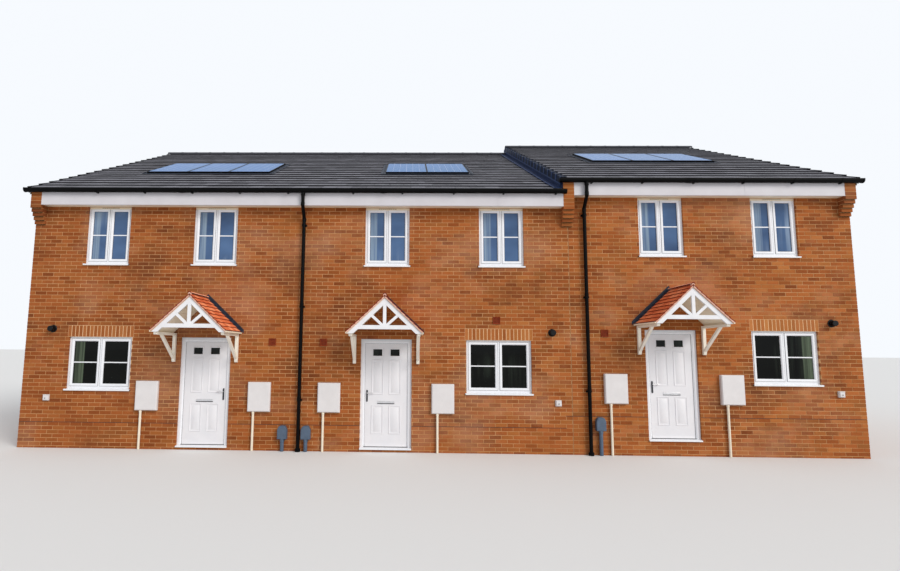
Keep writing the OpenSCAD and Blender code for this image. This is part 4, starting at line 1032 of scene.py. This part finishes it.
def leaf_with_panels(i):
    """Leaf with the openings of its two panes, its panels, weather bar and hinge knuckles."""
    x, floor, tone = door_x(i), FLOORS[i], (0.3, 0.5, 0.5)
    shape, half = Shape(), LEAF_W / 2
    inner, inside = LIGHT_GAP / 2, LIGHT_GAP / 2 + LIGHT_W
    low, high = floor + LEAF_LOW, floor + LEAF_TOP
    foot, head = floor + LIGHT_Z - LIGHT_H, floor + LIGHT_Z
    y = (LEAF_Y, LEAF_Y + LEAF_T)
    shape.box(about(x, half), y, (low, foot), tone)
    shape.box(about(x, half), y, (head, high), tone)
    for a, b in ((-half, -inside), (-inner, inner), (inside, half)):
        shape.box((x + a, x + b), y, (foot, head), tone)
    for side in LEAF_FACES:
        for a, b, z0, z1 in PANELS:
            for s in (-1, 1):
                panel, height = sorted((x + s * a, x + s * b)), (floor + z0, floor + z1)
                shape.ring(panel, height, raised(side, MOULDING), tone)
                shape.taper(panel, off(side, -1, 4), height, 40, 49, tone)
        for s in (-1, 1):
            pane = about(x + s * (LIGHT_GAP + LIGHT_W) / 2, LIGHT_W / 2)
            shape.ring(pane, (foot, head), raised(side, BEADING), tone)
    rail = [(LEAF_Y - 11, low + 4), (LEAF_Y, low + 4), (LEAF_Y, low + 42), (LEAF_Y - 3, low + 40)]
    shape.along_x(rail, *about(x, half - 14), tone)
    pin_x, pin_y = x + HINGE[i] * (LEAF_W + LEAF_GAP) / 2, REVEAL + FRAME_D + 8.3
    for z in (low + HINGE_END, (low + high) / 2, high - HINGE_END):
        shape.post((pin_x, pin_y), about(z, KNUCKLE), 8, 20, tone)
        shape.box((pin_x, pin_x - HINGE[i] * HINGE_W), (110, 113), about(z, KNUCKLE), tone)
    return shape


def lever_at(i):
    """Place of a lever's spindle."""
    return door_x(i) - HINGE[i] * (LEAF_W / 2 - LEVER_IN), FLOORS[i] + LEVER_Z


def handle_parts(i):
    """Long plates with the lever's rose and the lock cylinder, and a dark lip under the letter plate as
    painted shadow.
    """
    shape, (x, z) = Shape(), lever_at(i)
    plate = [(x + a, z + b) for a, b in ((-16, -158), (-4, -170), (4, -170), (16, -158),
                                         (16, 48), (4, 60), (-4, 60), (-16, 48))]
    lip = FLOORS[i] + LETTER_Z
    for side in LEAF_FACES:
        shape.along_y(plate, *off(side, 0, 8))
        shape.stub((x, z), off(side, 8, 30), 11, 20, end_radius=9)
        shape.stub((x, z - 92), off(side, 7, 14), 8.5, 20)
        shape.box(about(x, 3.5), off(side, 7, 13), (z - 118, z - 94))
        # Dark strip under the letter plate: painted shadow
        shape.box(about(door_x(i), LETTER_HALF), off(side, 0, 9), (lip - 11, lip + 1))
    return shape


def levers_and_letter_plate(i):
    """The levers, and the frame of the letter plate with its flap, on both faces."""
    shape, x, low = Shape(), door_x(i), FLOORS[i] + LETTER_Z
    start, z = lever_at(i)
    end = start + HINGE[i] * 118
    points = [(start, z), (start + HINGE[i] * 20, z + 2), (end - HINGE[i] * 26, z + 1), (end, z - 3)]
    for side in LEAF_FACES:
        depth = off(side, LEVER_OUT)[0]
        for (a, b), (c, d) in zip(points, points[1:]):
            shape.rod((a, depth, b), (c, depth, d), LEVER_R, 16)
        shape.stub((end, z - 3), off(side, LEVER_OUT, 24), LEVER_R - 1, 16)
        shape.stub((start, z), off(side, 26, 46), LEVER_R, 16)
        shape.ring(about(x, LETTER_HALF), (low, low + LETTER_H), raised(side, PLATE_RIM))
        shape.box(about(x, LETTER_HALF - 9), off(side, 0, 5.5), (low + 9, low + LETTER_H - 9))
    return shape


def make_doors():
    frames, seals, sills, metal = Shape(), Shape(), Shape(), Shape()
    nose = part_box("door_sills")[0].y * 1000 + DEPTH / 2
    for i in range(3):
        x, floor, inner = door_x(i), FLOORS[i], DOOR_W / 2 - DOOR_FRAME
        foot, head = floor + THRESHOLD, floor + HEAD
        frames.ring(about(x, DOOR_W / 2), (foot, head), DOOR_PROFILE, open_foot=True)
        seals.ring(about(x, inner + 6), (foot + 1, head - DOOR_FRAME + 6), DOOR_SEAL, open_foot=True)
        step = [(110, 1), (110, 38), (44, 38), (nose + 4, 24), (nose, 20), (nose, 1), (nose + 10, 1),
                (nose + 10, 6), (nose + 20, 6), (nose + 20, 1)]
        sills.along_x([(y, floor + z) for y, z in step], *about(x, DOOR_W / 2))
        bar = [(46, foot - 1), (46, foot + 4), (54, foot + 12), (63, foot + 12), (63, foot - 1)]
        metal.along_x(bar, *about(x, inner))
        body = f"door_{i + 1}"
        leaf_with_panels(i).piece(body + "_leaf", "skin", body, replaces=(f"door_leaf_{i + 1}",),
                                  slot="door_skin", smooth=30)
        handle_parts(i).piece(body + "_furniture", "metal", body, replaces=(f"door_handle_{i + 1}",),
                              slot="handle", smooth=40, bevel=0.8)
        levers_and_letter_plate(i).piece(body + "_bright_metal", "satin", body,
                                         slot="handle", smooth=40, bevel=0.8)
    frames.piece("door_surrounds", "upvc", replaces=("door_frames",), slot="upvc", bevel=1.2)
    seals.piece("door_seals", "seal")
    sills.piece("door_steps", "upvc", replaces=("door_sills",), slot="upvc", bevel=1.2)
    metal.piece("door_weather_bars", "metal")


# Canopies

C_SIN, C_COS, C_SLOPE = math.sin(CANOPY_PITCH), math.cos(CANOPY_PITCH), math.tan(CANOPY_PITCH)
C_GAUGE, C_NOSE, C_TILE_W, C_RIDGE_L = 107, 14, CANOPY_OUT / 6, 293
# Half width of the tile surface at the level of the feet, its length up the slope, and where its edge is
C_HALF = CANOPY_W / 2 + CANOPY_T / C_SIN
C_LENGTH, C_START = C_HALF / C_COS, (C_HALF - CANOPY_OVER / 2) / C_COS
# Start and end of each course of tiles, up the slope
C_COURSES = [(q, min(q + C_GAUGE + 18, C_LENGTH)) for q in np.arange(C_START - 3, C_LENGTH - 25, C_GAUGE)]
TRUSS_Y = (-CANOPY_OUT + 25, -CANOPY_OUT + 25 + 36)
TIE, TIE_H, BARGE, KING, STRUT, STRUT_LEAN = 78, 73, 76, 30, 25, math.radians(48)
ARM, POST, BRACKET_H, BRACE_OUT, BRACE = 48, 60, 555, 600, 24


def canopy_at(i):
    return door_x(i), FLOORS[i] + CANOPY_Z


def canopy_ridge(i):
    """Centre of the ridge tiles' curve."""
    x, z = canopy_at(i)
    return x, z + C_HALF * C_SLOPE - 14


def canopy_place(i, side):
    """Place at q up the slope from the level of the feet, w out of the surface, and y."""
    x, z = canopy_at(i)
    return lambda q, w, y: (x + side * (C_HALF - q * C_COS + w * C_SIN), y, z + q * C_SIN + w * C_COS)


def band(i, low, high, half):
    """Outline of both slopes between two distances from their inner line, with upright ends."""
    x, z = canopy_at(i)
    a, b = CANOPY_W / 2 + high / C_SIN, CANOPY_W / 2 + low / C_SIN
    left = [(-b, 0), (-half, 0)] if b < half else [(-half, (b - half) * C_SLOPE)]
    left.append((-half, (a - half) * C_SLOPE))
    points = left + [(0, a * C_SLOPE)] + [(-p, q) for p, q in left[::-1]] + [(0, b * C_SLOPE)]
    return [(x + p, z + q) for p, q in points]


def bar_outline(start, end, half):
    """Outline of a straight bar between two points, with square ends."""
    way = (end - start) / np.linalg.norm(end - start)
    across = np.array((-way[1], way[0])) * half
    return [tuple(p) for p in (start - across, end - across, end + across, start + across)]


def canopy_courses(i):
    """Place, number, foot and top of each course of tiles, on both slopes."""
    for side in (-1, 1):
        for course, (q0, q1) in enumerate(C_COURSES):
            yield canopy_place(i, side), course, q0, q1


def canopy_tiles(i):
    """Plain tiles in half bond, and three ridge tiles."""
    shape = Shape()
    for place, course, q0, q1 in canopy_courses(i):
        drop = -C_NOSE * (q1 - q0) / C_GAUGE
        outline = [(q0, -C_NOSE - 2), (q0, -4), (q0 + 4, 0), (q1, drop), (q1, drop - 9)]
        lay(shape, outline, place, -CANOPY_OUT, -8, C_TILE_W, course % 2, 1.4)
    for k in range(3):
        a = -CANOPY_OUT + k * (C_RIDGE_L + 3)
        shape.along_y(arch(*canopy_ridge(i), 40, 28, 66, 9), a, a + C_RIDGE_L)
    return shape


def canopy_bed(i):
    """Pale bedding between the tile ends and the boards of the front edge, and the ridge's end."""
    shape = Shape()
    for place, _, q0, q1 in canopy_courses(i):
        end = min(q1 - 18, C_LENGTH - 4)
        outline = [(q0 + 2, -42), (q0 + 2, -12), (end, -C_NOSE - 12), (end, -42)]
        shape.prism(outline, place, -CANOPY_OUT + 3, -CANOPY_OUT + 60)
    x, top = canopy_ridge(i)
    turns = np.linspace(0, 2 * math.pi, 16, endpoint=False)
    disc = [(x + 27 * math.sin(t), top - 4 + 27 * math.cos(t)) for t in turns]
    return shape.along_y(disc, -CANOPY_OUT + 4, -CANOPY_OUT + 60)


def canopy_shell(i):
    """Boards under the tiles, the upright board at each foot, and the lining in narrow strips."""
    shape, (x, z) = Shape(), canopy_at(i)
    shape.along_y(band(i, 0.5, CANOPY_T - 22, CANOPY_OVER / 2 - 14), TRUSS_Y[0] + 10, 0)
    boards, foot, low = 7, CANOPY_T / C_SLOPE, -CANOPY_T - 7
    width = (CANOPY_W / 2 / C_COS - 24) / boards
    for side in (-1, 1):
        edges = x + side * (CANOPY_OVER / 2 - 1), x + side * (CANOPY_OVER / 2 - 16)
        shape.box(edges, (-CANOPY_OUT + 12, 0), (z, z + 26))
        for k in range(boards):
            q = foot + 8 + k * width
            outline = [(q + 1, low + 8), (q + 1, low + 2), (q + 4, low), (q + width - 4, low),
                       (q + width - 1, low + 2), (q + width - 1, low + 8)]
            shape.prism(outline, canopy_place(i, side), TRUSS_Y[1] + 1, -8)
    return shape


def canopy_truss(i):
    """Sloping boards, level tie, king post and struts, as separate timbers halved into one face."""
    shape, (x, z), (y0, y1) = Shape(), canopy_at(i), TRUSS_Y
    half, inner = CANOPY_W / 2, CANOPY_W / 2 - BARGE / C_SIN
    for s in (-1, 1):
        board = [(x + s * half, z), (x, z + half * C_SLOPE), (x, z + inner * C_SLOPE), (x + s * inner, z)]
        shape.along_y(board, y0, y1)
    low, high, reach = TIE, TIE + TIE_H, inner + 24
    tie = [(x + s * (reach - h / C_SLOPE), z + h) for s, h in ((-1, low), (1, low), (1, high), (-1, high))]
    shape.along_y(tie, y0 + 2.5, y1 - 2)
    top, foot = z + inner * C_SLOPE, z + TIE + 4
    shoulder = top - KING * C_SLOPE + 26
    king = [(x - KING, foot), (x + KING, foot), (x + KING, shoulder), (x, top + 30), (x - KING, shoulder)]
    shape.along_y(king, y0 + 1.5, y1 - 1.5)
    # Struts from the foot of the king post up to the sloping boards
    sin, cos = math.sin(STRUT_LEAN), math.cos(STRUT_LEAN)
    length = (inner * C_SLOPE - TIE - TIE_H / 2) / (cos + sin * C_SLOPE) + 24
    for s in (-1, 1):
        foot, way = np.array((x, z + TIE + TIE_H / 2)), np.array((s * sin, cos))
        shape.along_y(bar_outline(foot + way * 24, foot + way * length, STRUT), y0 + 3.5, y1 - 3)
    return shape


def gallows_brackets(i):
    """Wall post, arm and straight brace on each side of a door."""
    shape, (middle, z), front = Shape(), canopy_at(i), TRUSS_Y[1]
    low, under = z - BRACKET_H, z - ARM
    foot, head = np.array((-POST, low + POST * 1.4)), np.array((-BRACE_OUT, under))
    way = (head - foot) / np.linalg.norm(head - foot)
    for s in (-1, 1):
        a, b = about(middle + s * BRACKET_X, POST / 2)
        shape.along_x([(0, z), (-POST, z), (-POST, low + 40), (-POST + 18, low), (0, low)], a, b)
        arm = [(-POST, z), (front, z), (front, under + 14), (front + 14, under), (-POST, under)]
        shape.along_x(arm, a, b)
        shape.along_x(bar_outline(foot - way * 6, head + way * 12, BRACE), a + 4, b - 4)
    return shape


def canopy_lead(i):
    """Lead up the wall with a folded edge, and lead dressed over the last tiles."""
    shape = Shape()
    shape.along_y(band(i, CANOPY_T - 4, CANOPY_T + 50, CANOPY_OVER / 2 + 34), -5, 0)
    shape.along_y(band(i, CANOPY_T + 42, CANOPY_T + 50, CANOPY_OVER / 2 + 34), -8, -4)
    for place, course, q0, q1 in canopy_courses(i):
        end = min(q1 - 12, C_LENGTH)
        outline = [(q0 - 4, 0.6), (q0 - 4, 7), (end, 7 - C_NOSE), (end, 0.6 - C_NOSE)]
        shape.prism(outline, place, -90 + 14 * (course % 2), -3)
    return shape


# Maker, name and look of each canopy piece, and what it replaces, its slot and its bevel
CANOPY_PIECES = (
    (canopy_tiles, "canopy_tiles", "canopy_tile", (), "canopy_tile", 0),
    (canopy_bed, "canopy_bedding", "bedding", (), "canopy_tile", 0),
    (canopy_shell, "canopy_boarding", "lining", ("canopy_roofs",), "white_timber", 0),
    (canopy_truss, "canopy_timbers", "timber", ("canopy_trusses",), "white_timber", 2),
    (gallows_brackets, "gallows_brackets", "timber_painted_warm_shade", ("canopy_brackets",), "white_timber", 4),
    (canopy_lead, "canopy_lead", "lead", ("canopy_flashings",), "lead", 1))


def make_canopies():
    shapes = [Shape() for _ in CANOPY_PIECES]
    for i in range(3):
        for shape, row in zip(shapes, CANOPY_PIECES):
            shape.join(row[0](i))
    for shape, (_, name, look, replaces, slot, bevel) in zip(shapes, CANOPY_PIECES):
        shape.piece(name, look, replaces=replaces, slot=slot, bevel=bevel)


# Fittings on the front wall

# Places x, z of the fittings
VENTS = ((HOUSE - 500, LOW + 2025), (HOUSE + 500, LOW + 2025), (HOUSE + GROUND_X[1] - 40, LOW + 2480),
         (2 * HOUSE + 550, HIGH + 2025))
FLUES = ((530, LOW + 2250), (2 * HOUSE - 460, LOW + 2250), (ROW - 520, HIGH + 2250))
OUTLETS = ((505, LOW + 910), (2 * HOUSE - 370, LOW + 910), (ROW - 450, HIGH + 910))
ENTRIES = ((HOUSE - 240, LOW + 185), (HOUSE + 210, LOW + 185), (2 * HOUSE + 405, HIGH + 185))
# Half sizes of a vent, an outlet and its cover, radii of a flue, and of a meter's pipe, and its clips
VENT_HALF, OUTLET_HALF, COVER_HALF, FLUE_COLLAR, FLUE_R, FLUE_INNER = 70, 59, 48, 75, 55, 38
METER_R, METER_SOCKET, METER_CLIP, METER_CLIPS_Z = 22.5, 27, 25.5, (220, 520)


def meter_parts():
    """Meter boxes with a door that has sloping edges, a dark slab behind the gap round the door as painted
    shade, and the pipe with its clips.
    """
    boxes, pipes, dark = Shape(), Shape(), Shape()
    out = -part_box("meter_boxes")[0].y * 1000 - DEPTH / 2
    for i in range(3):
        for s in (-1, 1):
            x, z, tone = door_x(i) + s * METER_X, FLOORS[i] + METER_Z, rng.random(3)
            width, height = about(x, METER_HALF), (z, z + METER_H)
            boxes.box(width, (-out + 22, 0), height, tone)
            # Dark slab seen through the gap: painted shade
            dark.box(about(x, METER_HALF - 5), (-out + 17, -out + 23), (z + 5, z + METER_H - 5))
            boxes.taper(width, (-out + 18, -out), height, 0, 16, tone)
            at = x - METER_PIPE, -out / 2
            pipes.post(at, (0, z + 6), METER_R, 24, tone)
            pipes.post(at, (z - 34, z + 2), METER_SOCKET, 24, tone)
            for clip in METER_CLIPS_Z:
                height = FLOORS[i] + clip, FLOORS[i] + clip + 20
                pipes.post(at, height, METER_CLIP, 24, tone)
                pipes.box(about(at[0], 9), (at[1], 0), height, tone)
    boxes.piece("meter_cupboards", "box", replaces=("meter_boxes",), slot="meter_white", bevel=1.5, smooth=40)
    pipes.piece("meter_pipes", "conduit", slot="meter_white", smooth=40)
    dark.piece("meter_gaps", "seal")


def vent_grilles(inner):
    """Square vents with sloping slats."""
    vents = Shape()
    for x, z in VENTS:
        rim = [(0, 0), (0, -18), (3, -22), (9, -22), (12, -18), (12, 0)]
        vents.ring(about(x, VENT_HALF), about(z, VENT_HALF), rim)
        # Dark square behind the slats: painted shade inside the vent
        inner.box(about(x, VENT_HALF - 10), (-4, -1), about(z, VENT_HALF - 10))
        for h in range(z - 52, z + 50, 20):
            vents.along_x([(-2, h + 10), (-16, h - 6), (-16, h - 2), (-2, h + 14)], *about(x, VENT_HALF - 11))
    vents.piece("vent_grilles", "terracotta", replaces=("wall_vents",), slot="terracotta")


def flue_ends():
    """Flue terminals: collar, pipe, open rings on thin bars round the inner pipe, and the end plate."""
    flues = Shape()
    for x, z in FLUES:
        flues.stub((x, z), (0, -10), FLUE_COLLAR, 40, end_radius=FLUE_COLLAR - 1)
        flues.stub((x, z), (-10, -18), FLUE_COLLAR - 1, 40, end_radius=FLUE_COLLAR - 11)
        flues.stub((x, z), (-18, -60), FLUE_R, 40)
        for y in range(-64, -105, -10):
            flues.stub((x, z), (y, y - 5), FLUE_R, 40)
        flues.stub((x, z), (-20, -108), FLUE_INNER, 32)
        flues.stub((x, z), (-110, -115), FLUE_R, 40, end_radius=FLUE_R - 5)
        for t in 2 * math.pi * np.arange(8) / 8:
            at = x + (FLUE_R - 5) * math.cos(t), z + (FLUE_R - 5) * math.sin(t)
            flues.stub(at, (-58, -112), 3, 8)
    flues.piece("flue_ends", "black", replaces=("flue_terminals",), slot="flue_black", smooth=35)


def outlet_covers(inner):
    """Square boxes with a hooded cover and a round outlet."""
    outlets = Shape()
    for x, z in OUTLETS:
        tone = rng.random(3)
        outlets.taper(about(x, OUTLET_HALF), (0, -34), about(z, OUTLET_HALF), 0, 3, tone)
        outlets.taper(about(x, COVER_HALF), (-34, -50), (z - COVER_HALF, z + 50), 0, 6, tone)
        outlets.rod((x, -44, z - 10), (x, -55, z - 10), 17, 24, tone)
        # Dark disc in the outlet: painted shade in its hole
        inner.stub((x, z - 10), (-54, -55), 11, 24)
        outlets.box(about(x, 50), (-54, -30), (z + 46, z + 54), tone)
    outlets.piece("outlet_covers", "box", replaces=("outlet_boxes",), slot="meter_white", bevel=1.2)


def cable_entries():
    """Low boxes with a sloping top over a pipe from the ground."""
    entries = Shape()
    for x, z in ENTRIES:
        tone = rng.random(3)
        outline = [(x + a, z + b) for a, b in ((-90, 0), (90, 0), (90, 176), (62, 236), (40, 250),
                                               (-40, 250), (-62, 236), (-90, 176))]
        entries.along_y(outline, -96, 0, tone)
        raised = [(a * 0.88 + x * 0.12, b * 0.9 + (z + 112) * 0.1) for a, b in outline]
        entries.along_y(raised, -100, -90, tone)
        entries.post((x, -50), (0, z + 4), 35, 28, tone)
        entries.post((x, -50), (z - 50, z + 2), 42, 28, tone)
    entries.piece("cable_entries", "grey", replaces=("cable_entry_boxes",), slot="entry_grey",
                  bevel=3, smooth=40)


def make_fittings():
    meter_parts()
    inner = Shape()
    vent_grilles(inner)
    flue_ends()
    outlet_covers(inner)
    cable_entries()
    # Painted shade inside the vents and outlets
    inner.piece("dark_openings", "seal")


# Solar panels

# Left end, count, base and distance up the slope of each array
ARRAYS = ((1390, 3, LOW, 2060), (7000, 2, LOW, 2060), (11945, 3, HIGH, 2600))
# Width of a panel's rim outside and over the cells, the cells across and up, and how far each part stands out
RIM_W, RIM, CELLS_ACROSS, CELLS_UP = 14, 12, 6, 10
RIM_OUT, CELLS_OUT, LINES_OUT = (6, 46), (34, 43), (42.5, 43.4)


def panel_parts(rims, cells, lines, place, a, low):
    """One panel: its rim, the glass over the cells and the lines between them."""
    b, high = a + PANEL_W, low + PANEL_L
    for u, v in (((a, b), (low, low + RIM_W)), ((a, b), (high - RIM_W, high)),
                 ((a, a + RIM_W), (low, high)), ((b - RIM_W, b), (low, high))):
        rims.plate(place, v, RIM_OUT, u)
    cells.plate(place, (low + RIM, high - RIM), CELLS_OUT, (a + RIM, b - RIM))
    for k in range(1, CELLS_ACROSS):
        u = a + RIM + k * (PANEL_W - 2 * RIM) / CELLS_ACROSS
        lines.plate(place, (low + RIM_W, high - RIM_W), LINES_OUT, about(u, 3.5))
    for k in range(1, CELLS_UP):
        v = low + RIM + k * (PANEL_L - 2 * RIM) / CELLS_UP
        lines.plate(place, about(v, 2), LINES_OUT, (a + RIM_W, b - RIM_W))


def make_panels():
    rims, cells, lines, trays = Shape(), Shape(), Shape(), Shape()
    for x0, n, base, low in ARRAYS:
        place, high = on_slope(base), low + PANEL_L
        for k in range(n):
            panel_parts(rims, cells, lines, place, x0 + k * PANEL_STEP, low)
        left, right = x0 - TRAY, x0 + n * PANEL_STEP - 8 + TRAY
        across, along = (low - TRAY, high + TRAY), (left, right)
        sides = ((along, (low - TRAY, low + 20)), (along, (high - 20, high + TRAY)),
                 ((left, x0 + 20), across), ((right - TRAY - 20, right), across))
        for k, (u, v) in enumerate(sides):
            trays.plate(place, v, (0.2, 5 + k * 0.3), u)
        for p in (left + 50, right - 58):
            trays.plate(place, across, (5, 16), (p, p + 8))
    rims.piece("panel_rims", "panel_frame", replaces=("solar_panels",))
    cells.piece("panel_cells", "cells", slot="panel")
    lines.piece("panel_cell_lines", "cell_gap")
    trays.piece("panel_flashing", "lead", replaces=("panel_trays",), slot="lead")


# Stage, light and camera

FLOOR_SIZE, SKY_LEVEL, KEY_LEVEL = 400, 0.62, 2.1
# Width of the sun's disc, how far it leans from overhead and which way, in degrees
SUN_WIDTH, SUN_LEAN, SUN_TURN = 26, 58, 44
# The photograph's size and the fitted camera: focal length and centre in pixels, and its turns
IMAGE_W, IMAGE_H, FOCAL, CENTRE = 900, 571, 539.28, (397.32, 289.38)
YAW, RISE, ROLL = -0.0227, 0.1129, 0.0094
# Camera from the left end of the front face, at the height over the threshold, in metres
CAMERA_AT, FLOOR_Z = (7.5725, -10.5501, 1.8822), 0.045


def place_object(name, data):
    obj = bpy.data.objects.new(name, data)
    bpy.context.scene.collection.objects.link(obj)
    return obj


def make_floor():
    mesh = bpy.data.meshes.new("floor")
    square = [(x, y, 0) for x, y in corners((-FLOOR_SIZE, FLOOR_SIZE), (-FLOOR_SIZE, FLOOR_SIZE))]
    mesh.from_pydata(square, [], [(0, 1, 2, 3)])
    look = bpy.data.materials.new("pale_floor")
    look.use_nodes = True
    shader = look.node_tree.nodes["Principled BSDF"]
    shader.inputs["Base Color"].default_value = (0.8, 0.8, 0.8, 1)
    shader.inputs["Roughness"].default_value = 0.9
    shader.inputs["Specular IOR Level"].default_value = 0.1
    mesh.materials.append(look)
    floor = place_object("floor", mesh)
    floor.location.z = -0.002


def make_light():
    """An even pale surround, dimmer where it lights than where it is seen or mirrored, and one soft sun."""
    world = bpy.data.worlds.new("studio")
    bpy.context.scene.world = world
    world.use_nodes = True
    tree = world.node_tree
    back = tree.nodes["Background"]
    back.inputs["Color"].default_value = (0.93, 0.96, 1, 1)
    rays = tree.nodes.new("ShaderNodeLightPath")
    seen = tree.nodes.new("ShaderNodeMath")
    seen.operation = "MAXIMUM"
    level = tree.nodes.new("ShaderNodeMapRange")
    level.inputs["To Min"].default_value, level.inputs["To Max"].default_value = SKY_LEVEL, 1.0
    for start, end in ((rays.outputs["Is Camera Ray"], seen.inputs[0]),
                       (rays.outputs["Is Glossy Ray"], seen.inputs[1]),
                       (seen.outputs[0], level.inputs["Value"]),
                       (level.outputs["Result"], back.inputs["Strength"])):
        tree.links.new(start, end)
    light = bpy.data.lights.new("key", "SUN")
    light.energy, light.angle, light.color = KEY_LEVEL, math.radians(SUN_WIDTH), (1, 0.96, 0.9)
    place_object("key", light).rotation_euler = (math.radians(SUN_LEAN), 0, math.radians(SUN_TURN))


def make_camera():
    """The photograph's viewpoint, from the street at eye height, a little left of the middle house's door."""
    forward = np.array((math.sin(YAW) * math.cos(RISE), math.cos(YAW) * math.cos(RISE), math.sin(RISE)))
    right = np.array((math.cos(YAW), -math.sin(YAW), 0))
    down = np.cross(forward, right)
    c, s = math.cos(ROLL), math.sin(ROLL)
    right, down = right * c - down * s, right * s + down * c
    data = bpy.data.cameras.new("view")
    data.sensor_width, data.lens = 36, FOCAL * 36 / IMAGE_W
    data.shift_x, data.shift_y = (IMAGE_W / 2 - CENTRE[0]) / IMAGE_W, (CENTRE[1] - IMAGE_H / 2) / IMAGE_W
    data.clip_start, data.clip_end = 0.1, 1000
    matrix = np.eye(4)
    matrix[:3, 0], matrix[:3, 1], matrix[:3, 2] = right, -down, -forward
    matrix[:3, 3] = np.array(CAMERA_AT) - (ROW / 2000, DEPTH / 2000, -FLOOR_Z)
    camera = place_object("view", data)
    camera.matrix_world = matrix.T.tolist()
    bpy.context.scene.camera = camera


paint_nodes()
make_walls()
make_roof()
eaves_trim()
pipe_collars()
make_windows()
make_doors()
make_canopies()
make_fittings()
make_panels()
make_floor()
make_light()
make_camera()
bpy.context.scene.view_settings.view_transform = "Standard"
